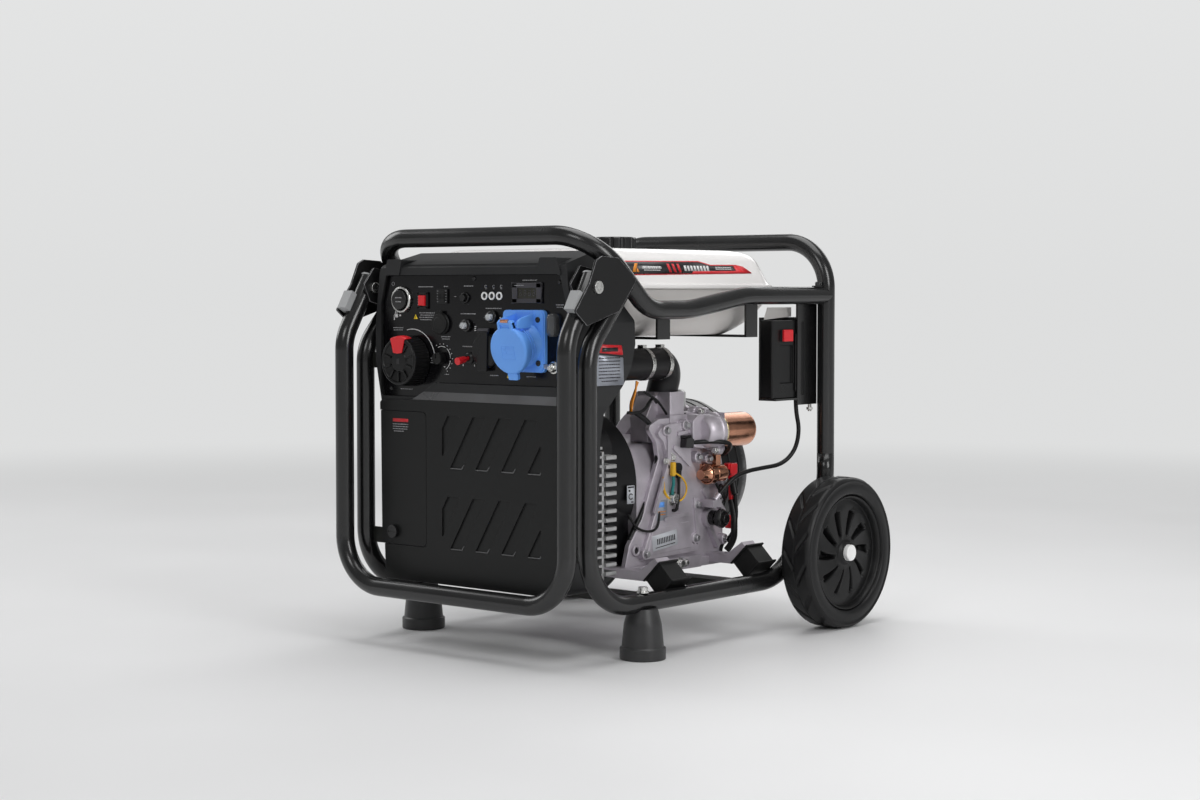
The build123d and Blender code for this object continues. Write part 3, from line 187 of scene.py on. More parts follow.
panel_black = surface("panel_film", (0.00341, 0.003224, 0.00403), 0.2, grain=1500, depth=0.012, tone=0.1,
                      Specular_IOR_Level=0.3)
cover_black = surface("cover_plastic", (0.00775, 0.00806, 0.00806), 0.4, grain=1200, depth=0.06,
                      strength=0.4, Specular_IOR_Level=0.3)
# A darker copy of the cover plastic for the vent recesses: painted shade in the recesses.
recess_painted_shade = surface("recess_plastic_painted_shade", (0.00682, 0.00713, 0.00713), 0.5, grain=1200, depth=0.05,
                       Specular_IOR_Level=0.3)
dark_fitting = surface("fitting_plastic", (0.01054, 0.01054, 0.01116), 0.3, grain=900, depth=0.02,
                       Specular_IOR_Level=0.3)
# The vent lips are the cover's dark plastic. Their light grey colour is a painted highlight along each
# slot's lower edge.
lip_painted_highlight = surface("slot_lip_painted_highlight", (0.11, 0.11, 0.112), 0.3, grain=900, depth=0.02)
knob_black = surface("knob_plastic", (0.0062, 0.0062, 0.00651), 0.33, grain=900, depth=0.03,
                     Specular_IOR_Level=0.3)
button_black = surface("button_black", (0.008, 0.008, 0.0085), 0.25, grain=800, depth=0.02)
red_plastic = surface("red_plastic", (0.72, 0.016, 0.024), 0.34, grain=800, depth=0.02, tone=0.06)
meter_grey = surface("meter_plastic", (0.045, 0.043, 0.05), 0.4, grain=900, depth=0.02)
ink_white = surface("print_white", (0.72, 0.72, 0.72), 0.45, tone=0.05, patch=300, grain=1500, depth=0.005)
ink_grey = surface("print_grey", (0.3, 0.3, 0.31), 0.45, tone=0.15, patch=400, grain=1500, depth=0.005)
ink_yellow = surface("print_yellow", (0.82, 0.58, 0.02), 0.45, tone=0.05, patch=300, grain=1500,
                     depth=0.005)
ink_red = surface("print_red", (0.62, 0.012, 0.02), 0.38, tone=0.05, patch=60, grain=1500, depth=0.005)
ink_black = surface("print_black", (0.012, 0.011, 0.013), 0.3, tone=0.05, patch=60, grain=1500, depth=0.005)
blue_plastic = surface("blue_plastic", (0.14, 0.39, 0.98), 0.42, tone=0.05, grain=700, depth=0.03)
tank_white = surface("tank_white", (0.83, 0.81, 0.8), 0.26, tone=0.015, patch=8, grain=260, depth=0.02,
                     strength=0.15, coat=0.5)
tank_grey = surface("tank_lower", (0.68, 0.655, 0.635), 0.4, tone=0.03, grain=300, depth=0.02)
case_black = surface("battery_case", (0.00558, 0.00558, 0.00589), 0.3, grain=900, depth=0.03,
                     Specular_IOR_Level=0.3)
cable_black = surface("cable_sheath", (0.00806, 0.00806, 0.00837), 0.38, grain=600, depth=0.03,
                      Specular_IOR_Level=0.3)
cast_alloy = surface("cast_alloy", (0.56, 0.52, 0.57), 0.4, metal=0.55, tone=0.13, patch=34, grain=620,
                     depth=0.16, strength=0.5, sweep=0.08)
fin_alloy = surface("fin_alloy", (0.5, 0.5, 0.5), 0.36, metal=0.75, tone=0.12, patch=60, grain=700,
                    depth=0.08)
shroud_black = surface("shroud_plastic", (0.00744, 0.007316, 0.00837), 0.36, grain=600, depth=0.04,
                       Specular_IOR_Level=0.3)
copper = surface("copper_plate", (0.62, 0.3, 0.19), 0.24, metal=1.0, tone=0.18, patch=40, grain=900,
                 depth=0.03)
yellow_zinc = surface("yellow_zinc", (0.72, 0.6, 0.32), 0.25, metal=1.0, tone=0.25, patch=120, grain=900,
                      depth=0.02)
steel = surface("machined_steel", (0.45, 0.45, 0.46), 0.3, metal=1.0, tone=0.1, patch=90, grain=1200,
                depth=0.02)
rubber_black = surface("mount_rubber", (0.00806, 0.00806, 0.00806), 0.48, grain=420, depth=0.08,
                       Specular_IOR_Level=0.3)
hose_black = surface("hose_rubber", (0.00992, 0.00961, 0.01054), 0.4, grain=460, depth=0.08, patch=30,
                     Specular_IOR_Level=0.3)
stove_black = surface("stove_black", (0.01364, 0.01364, 0.01364), 0.55, grain=420, depth=0.12, patch=26,
                      Specular_IOR_Level=0.3)
wire_yellow = surface("wire_yellow", (0.8, 0.45, 0.02), 0.38, tone=0.06, grain=900, depth=0.02)
wire_teal = surface("wire_teal", (0.01, 0.2, 0.2), 0.38, tone=0.06, grain=900, depth=0.02)
wire_orange = surface("wire_orange", (0.75, 0.26, 0.015), 0.38, tone=0.06, grain=900, depth=0.02)
label_white = surface("label_white", (0.62, 0.64, 0.68), 0.4, tone=0.03, patch=60, grain=1200, depth=0.005)
label_silver = surface("label_silver", (0.36, 0.38, 0.43), 0.32, metal=0.4, tone=0.05, patch=60,
                       grain=1200, depth=0.01)
screen_green = surface("screen_film", (0.022, 0.021, 0.012), 0.14, tone=0.1, patch=100, grain=1200,
                       depth=0.003)
clear_plastic = surface("clear_plastic", (0.8, 0.82, 0.85), 0.08, tone=0.03, grain=300, depth=0.02,
                        Transmission_Weight=0.9, IOR=1.45)
floor_pale = surface("studio_floor", (0.8, 0.8, 0.805), 0.55, tone=0.012, patch=2.0, grain=120, depth=0.02)

floor_nodes = floor_pale.node_tree.nodes
floor_links = floor_pale.node_tree.links
spot = floor_nodes.new("ShaderNodeTexCoord")
span = floor_nodes.new("ShaderNodeVectorMath")
span.operation = "LENGTH"
fade = floor_nodes.new("ShaderNodeMapRange")
fade.interpolation_type = "SMOOTHSTEP"
fade.inputs["From Min"].default_value = 1.0
fade.inputs["From Max"].default_value = 4.6
far_floor = floor_nodes.new("ShaderNodeEmission")
far_floor.inputs["Color"].default_value = horizon_tone
far_floor.inputs["Strength"].default_value = 1.0
joined = floor_nodes.new("ShaderNodeMixShader")
floor_links.new(spot.outputs["Object"], span.inputs[0])
floor_links.new(span.outputs["Value"], fade.inputs["Value"])
floor_links.new(fade.outputs["Result"], joined.inputs["Fac"])
floor_links.new(floor_nodes["Principled BSDF"].outputs["BSDF"], joined.inputs[1])
floor_links.new(far_floor.outputs["Emission"], joined.inputs[2])
floor_links.new(joined.outputs["Shader"], floor_nodes["Material Output"].inputs["Surface"])

floor_data = bpy.data.meshes.new("floor")
reach = 40.0
floor_data.from_pydata([(-reach, -reach, 0), (reach, -reach, 0), (reach, reach, 0), (-reach, reach, 0)], [],
                       [(0, 1, 2, 3)])
floor = bpy.data.objects.new("floor", floor_data)
bpy.context.scene.collection.objects.link(floor)
floor_data.materials.append(floor_pale)

# ---------------------------------------------------------------- building pieces

to_right = (1, 0, 0)
to_rear = (0, 1, 0)
upward = (0, 0, 1)


def finish_mesh(thing, bevel, segments, angle=35, edge_slot=-1):
    """Merged corners, rounded edges and smooth shading for a hard piece."""
    weld = thing.modifiers.new("weld", "WELD")
    weld.merge_threshold = 0.00002
    flat = thing.modifiers.new("flat", "DECIMATE")
    flat.decimate_type = "DISSOLVE"
    flat.angle_limit = math.radians(0.6)
    if bevel:
        rounding = thing.modifiers.new("edges", "BEVEL")
        rounding.width = bevel * MM
        rounding.segments = segments
        rounding.limit_method = "ANGLE"
        rounding.angle_limit = math.radians(angle)
        rounding.material = edge_slot
    thing.data.polygons.foreach_set("use_smooth", [True] * len(thing.data.polygons))
    shading = thing.modifiers.new("shading", "WEIGHTED_NORMAL")
    shading.keep_sharp = False


def dress(node, look, bevel=0.6, segments=2, edge=None):
    """A CAD node keeps its shape, and gets its material and rounded edges."""
    thing = frame["nodes"][node]
    thing.data.materials.clear()
    thing.data.materials.append(look)
    if edge:
        thing.data.materials.append(edge)
    finish_mesh(thing, bevel, segments, edge_slot=1 if edge else -1)
    return thing


body_of = {node: body for body, nodes in frame["record"]["behaviour"]["bodies"].items() for node in nodes}


def piece(name, solids, look, node, bevel=0.4, segments=2, stands_for=()):
    """One piece of closed (corners, faces) solids in millimetres. It rides with a node in its slot."""
    corners, faces = [], []
    for some_corners, some_faces in solids:
        start = len(corners)
        corners += [[value * MM for value in corner] for corner in some_corners]
        faces += [[start + index for index in face] for face in some_faces]
    data = bpy.data.meshes.new(name)
    data.from_pydata(corners, [], faces)
    shape = bmesh.new()
    shape.from_mesh(data)
    bmesh.ops.recalc_face_normals(shape, faces=shape.faces)
    shape.to_mesh(data)
    shape.free()
    data.materials.append(look)
    thing = bpy.data.objects.new(name, data)
    bpy.context.scene.collection.objects.link(thing)
    if bevel:
        finish_mesh(thing, bevel, segments)
    else:
        data.polygons.foreach_set("use_smooth", [True] * len(data.polygons))
    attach(thing, body_of[node])
    if stands_for:
        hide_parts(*stands_for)
    return thing


def front(y):
    """Places an outline of (x, z) points on the panel side, growing outwards from y."""
    return lambda u, v, w: (u, y - w, v)


def right(x):
    """Places an outline of (y, z) points on the right side, growing outwards from x."""
    return lambda u, v, w: (x + w, u, v)


def top(z):
    """Places an outline of (x, y) points on a level, growing upwards from z."""
    return lambda u, v, w: (u, v, z + w)


def on_plane(origin, across, up):
    """Places an outline on any plane, growing along the cross product of its two directions."""
    origin, across, up = Vector(origin), Vector(across).normalized(), Vector(up).normalized()
    out = across.cross(up)
    return lambda u, v, w: tuple(origin + across * u + up * v + out * w)


def slab(outline, place, depth, start=0.0):
    """A flat piece of any outline."""
    count = len(outline)
    corners = [place(u, v, start) for u, v in outline] + [place(u, v, start + depth) for u, v in outline]
    faces = [list(range(count)), list(range(2 * count - 1, count - 1, -1))]
    faces += [[i, (i + 1) % count, count + (i + 1) % count, count + i] for i in range(count)]
    return corners, faces


def stack(layers):
    """A solid through a list of rings of equal count, closed at both ends."""
    count = len(layers[0])
    corners = [corner for layer in layers for corner in layer]
    faces = [list(range(count)), list(range(len(corners) - 1, len(corners) - count - 1, -1))]
    for level in range(len(layers) - 1):
        a, b = level * count, (level + 1) * count
        faces += [[a + i, a + (i + 1) % count, b + (i + 1) % count, b + i] for i in range(count)]
    return corners, faces


def rounded(outline, radius, steps=5):
    """An outline with each corner turned into an arc."""
    result = []
    count = len(outline)
    for i, corner in enumerate(outline):
        here = Vector(corner)
        before = Vector(outline[i - 1]) - here
        after = Vector(outline[(i + 1) % count]) - here
        half = before.angle(after) / 2
        cut = min(radius / math.tan(half), before.length * 0.49, after.length * 0.49)
        start, end = here + before.normalized() * cut, here + after.normalized() * cut
        for step in range(steps + 1):
            t = step / steps
            result.append(tuple(start * (1 - t) ** 2 + here * 2 * t * (1 - t) + end * t ** 2))
    return result


def rect(x, z, width, height):
    """A rectangle about a middle."""
    return [(x - width / 2, z - height / 2), (x + width / 2, z - height / 2),
            (x + width / 2, z + height / 2), (x - width / 2, z + height / 2)]


def arc_band(x, z, inner, outer, start, end, steps=24):
    """Part of a ring between two angles in degrees."""
    angles = [math.radians(start + (end - start) * i / steps) for i in range(steps + 1)]
    outside = [(x + outer * math.cos(a), z + outer * math.sin(a)) for a in angles]
    inside = [(x + inner * math.cos(a), z + inner * math.sin(a)) for a in reversed(angles)]
    return outside + inside


def turned(profile, origin, axis, steps=48, shift=None, start=None):
    """A solid of revolution from (radius, height) points, with a radius of 0 where it closes on its axis.

    shift(radius, height, turn) may move a point to another (radius, height)."""
    axis = Vector(axis).normalized()
    side = Vector(start).normalized() if start else axis.orthogonal().normalized()
    across = axis.cross(side)
    origin = Vector(origin)
    corners, faces, rings = [], [], []
    for radius, height in profile:
        ring = []
        for i in range(1 if radius == 0 else steps):
            turn = 2 * math.pi * i / steps
            r, h = shift(radius, height, turn) if shift else (radius, height)
            ring.append(len(corners))
            spoke = side * math.cos(turn) + across * math.sin(turn)
            corners.append(tuple(origin + axis * h + spoke * r))
        rings.append(ring)
    pairs = list(zip(rings, rings[1:]))
    if profile[0][0] > 0 and profile[-1][0] > 0:
        pairs.append((rings[-1], rings[0]))
    for a, b in pairs:
        for i in range(steps):
            j = (i + 1) % steps
            if len(a) == 1:
                faces.append([a[0], b[i], b[j]])
            elif len(b) == 1:
                faces.append([a[i], a[j], b[0]])
            else:
                faces.append([a[i], a[j], b[j], b[i]])
    return corners, faces


def wire(name, points, diameter, look, node, stands_for=()):
    """A lead along given points, as a smooth round curve."""
    data = bpy.data.curves.new(name, "CURVE")
    data.dimensions = "3D"
    line = data.splines.new("NURBS")
    line.points.add(len(points) - 1)
    for point, place in zip(line.points, points):
        point.co = (*[value * MM for value in place], 1)
    line.order_u = 3
    line.use_endpoint_u = True
    data.bevel_depth = diameter / 2 * MM
    data.bevel_resolution = 6
    data.resolution_u = 10
    data.use_fill_caps = True
    data.materials.append(look)
    thing = bpy.data.objects.new(name, data)
    bpy.context.scene.collection.objects.link(thing)
    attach(thing, body_of[node])
    if stands_for:
        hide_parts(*stands_for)
    return thing


def hex_bolt(place, out, width, height, washer=0.0):
    """A hexagon head, on a washer if it has one, standing on a surface."""
    solids = []
    base = Vector(place)
    out = Vector(out).normalized()
    r = width / 2 / math.cos(math.pi / 6)
    if washer:
        solids.append(turned([(0, 0), (washer / 2, 0), (washer / 2, 1.4), (0, 1.4)], base, out, 32))
        base = base + out * 1.4
    solids.append(turned([(0, 0), (r, 0), (r, height - 0.8), (r - 1, height), (0, height)], base, out, 6))
    return solids


def pan_screw(place, out, diameter, height):
    """A domed head with a cross cut in it."""
    r = diameter / 2
    head = [(0, 0), (r, 0), (r, height * 0.35), (r * 0.86, height * 0.75), (r * 0.55, height),
            (r * 0.3, height), (r * 0.16, height * 0.45), (0, height * 0.4)]
    return turned(head, place, out, 32)


# ---------------------------------------------------------------- carried-over nodes

for node in ("side_frame_right", "side_frame_left", "top_hoop", "rear_hoop", "fold_handle"):
    dress(node, powder, 0)
for node in ("tank_brackets", "battery_tray"):
    dress(node, powder, 0.5)
dress("crossmembers", bed_black, 0.6)
# The brackets' bevel faces take the bright edge colour: worn metal plus a painted edge highlight.
dress("hinge_brackets", bracket_black, 0.35, edge=edge_wear_and_highlight)
dress("frame_bolts", zinc, 0.5)
dress("handle_stops", stop_grey, 0.8)
dress("front_feet", foot_rubber, 0.6)
dress("wheel_axles", zinc, 0.4)
dress("housing", shell_grey, 1.2, 3)
dress("control_panel", panel_black, 0.3)
dress("service_door", cover_black, 0.5)
dress("door_latch", button_black, 0.4)
dress("fuel_cap", button_black, 0.8)
dress("battery", case_black, 1.0)
dress("cylinder_head", fin_alloy, 0.5)
dress("engine_shroud", shroud_black, 1.2)
dress("alternator", copper, 0.4)
dress("crankshaft", steel, 0.6)
dress("flywheel", cast_alloy, 0.8)
dress("flywheel_cover", shroud_black, 1.0)
dress("oil_cap", button_black, 0.5)
dress("carburettor", cast_alloy, 0.8)
dress("air_filter", shroud_black, 1.0)
dress("intake_hose", hose_black, 0.5)
dress("muffler", stove_black, 1.0)
dress("engine_mounts", rubber_black, 0.8)
dress("inverter", fin_alloy, 0.5)
dress("wiring", cable_black, 0.4)
dress("start_button", button_black, 0.5)
dress("power_rocker", red_plastic, 0.5)
dress("reset_button", button_black, 0.5)
dress("breaker_button_left", clear_plastic, 0.6)
dress("breaker_button_right", clear_plastic, 0.6)
dress("current_dial", knob_black, 0.5)
dress("toggle_lever", red_plastic, 0.6)
dress("dome_cover", clear_plastic, 0.3)
for side in ("right", "left"):
    dress(f"hub_cap_{side}", cap_white, 0.6)

# ---------------------------------------------------------------- wheels

tread_count = 15            # chevrons round the tread
groove_half = 2.7
groove_deep = 3.0
blade_count = 10
slot_inner, slot_outer = 27.0, 71.0


def smooth_step(value, low, high):
    """0 below low, 1 above high, and smooth between."""
    t = min(1, max(0, (value - low) / (high - low)))
    return t * t * (3 - 2 * t)


def middle_of(node):
    """The middle and the size of a node's box, in millimetres."""
    low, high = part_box(node)
    return (low + high) / 2 / MM, (high - low) / MM


def build_wheel(side, sign):
    """The tyre with its cut tread, and the dished rim with ten swept slots."""
    middle, size = middle_of(f"tyre_{side}")
    wheel_r, width = size.z / 2, size.x
    axle = (middle.x - sign * width / 2, middle.y, middle.z)

    def tread(radius, height, turn):
        across = (height / width - 0.5) * 2
        if radius < wheel_r - 2.5 or abs(across) > 0.8:
            return radius, height
        offset = 0.5 if across > 0 else 0
        phase = turn / (2 * math.pi) * tread_count + 0.9 * abs(across) + offset
        pitch = 2 * math.pi * wheel_r / tread_count
        gap = abs(phase - round(phase)) * pitch * 0.7
        cut = 1 - smooth_step(gap, groove_half * 0.6, groove_half * 1.5)
        cut *= smooth_step(abs(across), 0.03, 0.1) * (1 - smooth_step(abs(across), 0.7, 0.8))
        centre = (1 - smooth_step(abs(across), 0.015, 0.045)) * 0.4
        return radius - groove_deep * max(cut, centre), height

    crown = [(wheel_r - 0.5 * ((i / 15 - 1) ** 2), 9 + i * (width - 18) / 30) for i in range(31)]
    wall = [(wheel_r - 1.0, 6.4), (wheel_r - 2.6, 4.2), (wheel_r - 4.6, 2.6), (wheel_r - 6.2, 1.3),
            (wheel_r - 7.6, 1.6), (wheel_r - 8.8, 2.6), (wheel_r - 13, 1.4), (wheel_r - 19, 0.9),
            (wheel_r - 24, 1.3), (wheel_r - 26.4, 2.2), (wheel_r - 27.4, 3.4), (wheel_r - 28.6, 6.5),
            (wheel_r - 29.6, 9)]
    inner = [(r, h) for r, h in reversed(wall)]
    outer = [(r, width - h) for r, h in wall]
    tyre = turned(inner + crown + outer, axle, (sign, 0, 0), 360, tread)
    piece(f"tyre_{side}_rubber", [tyre], tyre_black, f"tyre_{side}", bevel=0, stands_for=[f"tyre_{side}"])

    rim_r = wheel_r - 29.6
    slot_turn = 2 * math.pi / blade_count

    def blades(radius, height, turn):
        if not 20 < radius < 80 or height < 25:
            return radius, height
        along = (radius - slot_inner) / (slot_outer - slot_inner)
        sweep = -sign * 0.2 * along
        phase = (turn - sweep) / slot_turn
        part = phase - math.floor(phase)
        nearest = (part - round(part)) * slot_turn * radius
        half = 2.4 + 4.6 * max(0, min(1, along))
        side_gap = abs(nearest) - half
        end_gap = max(slot_inner - radius, radius - slot_outer) + half * 0.5
        gap = max(side_gap, end_gap)
        hole = 1 - smooth_step(gap, -0.9, 0.7)
        ramp = 3.4 * (part - 0.5) * sign * smooth_step(radius, 22, 34) * (1 - smooth_step(radius, 66, 78))
        return radius, height + ramp * (1 - hole) - 17 * hole

    face = [(84.5 - 1.05 * i, 40.2 + 4.6 * (1 - ((84.5 - 1.05 * i) / 84.5) ** 2)) for i in range(62)]
    profile = [(8.2, 2), (19, 2), (20, 4), (20, 12), (rim_r - 14, 13), (rim_r - 6, 6), (rim_r, 6),
               (rim_r, width - 7), (rim_r - 0.6, width - 5.6), (rim_r - 2.2, width - 5.2),
               (rim_r - 3.6, width - 6.4), (rim_r - 5, width - 9), (rim_r - 6, width - 13),
               (rim_r - 6.4, width - 16)] + face + [(18.6, 46.6), (17.2, 48.4), (15.2, 49.2), (8.2, 49.2)]
    rim = turned(profile, axle, (sign, 0, 0), 360, blades)
    piece(f"rim_{side}_moulding", [rim], rim_black, f"rim_{side}", bevel=0, stands_for=[f"rim_{side}"])


build_wheel("right", 1)
build_wheel("left", -1)

# ---------------------------------------------------------------- lower cover

cover_middle, cover_size = middle_of("lower_cover")
cover_front = cover_middle.y - cover_size.y / 2
cover_low = cover_middle.z - cover_size.z / 2
cover_t = cover_size.y
band_low, band_high = 374.0, 397.0      # the sloped ledge above the cover
slot_rows = (151.0, 272.0)
slot_w, slot_lean, slot_h, slot_pitch = 26.0, 48.0, 80.0, 52.0
slot_span = (-55.0, 144.0)
recess_deep = 2.6


def clip_band(outline, low_x, high_x):
    """The part of a convex outline between two values of x."""
    for limit, keep in ((low_x, 1), (high_x, -1)):
        result = []
        for (ax, az), (bx, bz) in zip(outline, outline[1:] + outline[:1]):
            inside_a, inside_b = keep * (ax - limit) >= 0, keep * (bx - limit) >= 0
            if inside_a:
                result.append((ax, az))
            if inside_a != inside_b:
                t = (limit - ax) / (bx - ax)
                result.append((limit, az + t * (bz - az)))
        outline = result
    return outline


def vent_outlines():
    """The ten slanted recesses, cut off square at both ends of each row."""
    for low in slot_rows:
        for step in range(5):
            x = slot_span[0] - 36 + step * slot_pitch
            leaning = [(x, low), (x + slot_w, low), (x + slot_w + slot_lean, low + slot_h),
                       (x + slot_lean, low + slot_h)]
            yield clip_band(leaning, *slot_span)


def build_cover():
    """The moulded cover: a plate with a sloped ledge, with slanted recesses cut into it."""
    door_low, door_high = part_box("service_door")
    door_right = door_high.x / MM + 0.6
    door_z = (door_low.z / MM - 0.6, door_high.z / MM + 0.6)
    plate = [
        (-176, cover_low), (176, cover_low), (188, 368), (188, band_low), (-118, band_low), (-188, 371),
    ]
    back = cover_front + cover_t
    solid = piece("lower_cover_moulding", [slab(rounded(plate, 6), front(back), cover_t)], cover_black,
                  "lower_cover", bevel=0, stands_for=["lower_cover"])
    cutters = [slab(rounded([(-230, door_z[0]), (door_right, door_z[0]), (door_right, door_z[1]),
                             (-230, door_z[1])], 9), front(back + 5), 20)]
    for outline in vent_outlines():
        cutters.append(slab(rounded(outline, 1.6, 3), front(cover_front + recess_deep), 10))
    # The cutter carries the darker recess colour: painted shade for the recesses.
    cutter = piece("cover_cutter", cutters, recess_painted_shade, "lower_cover", bevel=0)
    cut = solid.modifiers.new("vents", "BOOLEAN")
    cut.object = cutter
    cut.solver = "EXACT"
    bpy.context.view_layer.objects.active = solid
    bpy.ops.object.modifier_apply(modifier="vents")
    bpy.data.objects.remove(cutter)
    finish_mesh(solid, 0.8, 3)

    hooks = []
    for outline in vent_outlines():
        low = min(z for _, z in outline)
        foot_line = sorted(x for x, z in outline if z - low < 0.01)
        if len(foot_line) > 1:
            a, b = foot_line[0], foot_line[-1]
            hooks.append([(a + 1, low + 0.5), (b - 1, low + 0.5), (b + 4, low + 8), (b + 2.6, low + 8),
                          (b - 2.4, low + 2.2), (a + 1, low + 2.2)])
    # Lips at the foot of each vent: the shape is modelled, and the light grey is a painted highlight.
    piece("cover_slot_lips", [slab(hook, front(cover_front + recess_deep), recess_deep - 0.5)
                              for hook in hooks], lip_painted_highlight, "lower_cover", 0.3)

    ledge = [(-113, 377), (-76, band_high + 1.5), (182, band_high + 1.5), (186, band_low), (-118, band_low)]
    deep = 7.5

    def slope(u, v, w):
        t = (v - band_low) / (band_high + 1.5 - band_low)
        return (u, cover_front + 0.2 + deep * t + (0 if w else 2.5), v)

    # The sloped ledge in light grey: its shape is modelled, and its colour is a painted highlight.
    piece("cover_ledge", [slab(rounded(ledge, 4), slope, 1)], ledge_painted_highlight, "housing", bevel=0.5)


build_cover()

# ---------------------------------------------------------------- printing

dashes = random.Random(7)


def printed(name, outlines, look, node, place, height=0.14):
    """Ink or a label on a surface: very thin flat pieces."""
    return piece(name, [slab(outline, place, height) for outline in outlines], look, node, bevel=0)


def dash_line(x, z, length, height=1.5):
    """A row of short strokes, in place of words."""
    strokes = []
    at = x - length / 2
    while at < x + length / 2 - 1:
        run = min(dashes.uniform(1.6, 5.5), x + length / 2 - at)
        strokes.append(rect(at + run / 2, z, run, height))
        at += run + 0.8
    return strokes


panel_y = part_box("control_panel")[0].y / MM
ink = front(panel_y)

faint = []
for x, z, length, lines in ((-97.6, 544.3, 31, 1), (-54.4, 544.7, 10, 1), (-8.2, 545.3, 19, 1),
                            (114.5, 553.5, 29, 1),
                            (-9, 504.1, 31, 1), (42.5, 512.3, 31, 1), (-95, 505, 33, 4),
                            (-55.8, 469.6, 19, 2),
                            (-53.6, 413.3, 9, 1), (-9.2, 455.7, 23, 1), (43.9, 414, 17, 1),
                            (116.8, 413.9, 18, 1),
                            (172.8, 518, 16, 2), (-157.2, 482, 22, 2), (-139.6, 389, 26, 1),
                            (-84, 437, 8, 3)):
    for line in range(lines):
        faint += dash_line(x, z - 3.4 * line, length - 3 * (line % 2))
for x in (26.8, 42.6, 57.9):
    faint += [arc_band(x, 544.5, 1.6, 2.4, 20, 320), rect(x, 541.2, 3.4, 0.7)]
faint += [arc_band(-167.7, 549, 2.4, 3.2, 0, 359), arc_band(59.9, 427.6, 2.2, 3.0, 0, 359),
          rect(-35.7, 529.8, 5, 1)]
printed("panel_fine_print", faint, ink_grey, "control_panel", ink)

knob_middle = middle_of("engine_knob")[0]
knob_x, knob_z = knob_middle.x, knob_middle.z
dial_middle = middle_of("current_dial")[0]
dial_x, dial_z = dial_middle.x, dial_middle.z
bold = [arc_band(knob_x, knob_z, 47.5, 48.9, -4, 104, 40)]
bold += [arc_band(dial_x, dial_z, 17.5, 18.5, start, start + 52) for start in (-62, 2, 66)]
bold += [rect(55.8, 495.3, 1.4, 6), rect(55.8, 499, 3, 1.2), rect(5.3, 485.4, 3.6, 1.3),
         rect(5.3, 479.8, 3.6, 1.3)]
bold += [rect(5.3, 482.6, 3.6, 1.3), rect(-58.4, 424.4, 3, 1.4), rect(-19.6, 427.8, 1.2, 3),
         rect(3.7, 427.8, 1.2, 3)]
# a pointing hand: a palm, three closed fingers and one that points down
bold += [rounded(rect(-161.5, 500.5, 8, 6), 1.5), rounded(rect(-165.5, 497.5, 2.2, 8), 1),
         rect(-153, 501, 4, 2.6)]
bold += [rounded(rect(-162.6, 505, 2, 5), 0.9), rounded(rect(-159.6, 504, 2, 4), 0.9)]
printed("panel_bold_print", bold, ink_white, "control_panel", ink)


def triangle(x, z, size):
    """An upright triangle."""
    return rounded([(x - size / 2, z - size * 0.43), (x + size / 2, z - size * 0.43),
                    (x, z + size * 0.43)], 0.6)


printed("panel_caution_signs", [triangle(-119.2, 499.4, 9), triangle(73.9, 415.7, 11)], ink_yellow,
        "control_panel", ink)
printed("panel_caution_marks", [rect(-119.2, 499, 0.9, 3), rect(73.9, 415.2, 1.1, 4)], ink_black,
        "control_panel", front(panel_y - 0.15), 0.1)
printed("dial_scale_marks", [rect(dial_x + 22 * math.cos(a), dial_z + 22 * math.sin(a), 1.4, 1.4)
                             for a in (math.radians(d) for d in range(-60, 121, 20))], ink_white,
                             "control_panel", ink)

# ---------------------------------------------------------------- panel controls

out_front = (0, -1, 0)


def on_panel(profile, x, z, base=None, steps=56):
    """A turned piece that stands out of the panel."""
    return turned(profile, (x, panel_y if base is None else base, z), out_front, steps)


start_x, start_z = -147.5, 524.7
ring = on_panel([(15.5, 0), (20.5, 0), (20.5, 3), (19.6, 5.2), (18.2, 6), (16.8, 5.4), (15.5, 4)], start_x,
                start_z)
piece("start_bezel", [ring], zinc, "panel_fittings", 0, stands_for=["panel_fittings"])
piece("start_button_face", [on_panel([(0, 9.2), (13.2, 9.2), (14.4, 9.0), (14.8, 8.4), (14.8, 2.4),
                                      (0, 2.4)], start_x, start_z)], button_black, "start_button", 0,
                                      stands_for=["start_button"])
printed("start_button_marks", dash_line(start_x, start_z + 3, 14, 1.8) +
        dash_line(start_x, start_z - 3, 12, 1.8), ink_grey, "start_button", front(panel_y - 9.2))

rocker_x, rocker_z = -102.0, 523.6
frame_bars = [rect(rocker_x, rocker_z + 10.7, 22, 3.2), rect(rocker_x, rocker_z - 10.7, 22, 3.2),
              rect(rocker_x - 8.9, rocker_z, 4.2, 25), rect(rocker_x + 8.9, rocker_z, 4.2, 25)]
piece("rocker_frame", [slab(bar, ink, 3) for bar in frame_bars], dark_fitting, "panel_fittings", 0.5)
printed("rocker_marks", [rect(rocker_x - 9, rocker_z + 6 - 4 * i, 2, 1.2) for i in range(4)], ink_grey,
        "panel_fittings", front(panel_y - 3))

port_x, port_z = -61.0, 530.0
piece("service_port", [slab(rounded(rect(port_x, port_z, 22, 22), 2), ink, 3),
                       slab(rounded(rect(port_x, port_z, 14, 15), 1), front(panel_y - 2.8), 1.6)]
      + [slab(rect(port_x - 4.8 + 3.2 * i, port_z, 1, 9), front(panel_y - 4), 1) for i in range(4)],
      dark_fitting, "panel_fittings", 0.3)
printed("service_port_marks", [rect(port_x - 8.6, port_z + 8 - 4 * i, 2.6, 0.8) for i in range(5)]
        + [rect(port_x + 8.6, port_z + 8 - 4 * i, 2.6, 0.8) for i in range(5)], ink_grey, "panel_fittings",
        front(panel_y - 3))

reset_x, reset_z = -14.7, 528.0
piece("reset_bezel", [on_panel([(5.5, 0), (8.4, 0), (8.4, 1.4), (7.4, 3.2), (5.5, 3.2)], reset_x, reset_z,
                               steps=40)], dark_fitting, "panel_fittings", 0)

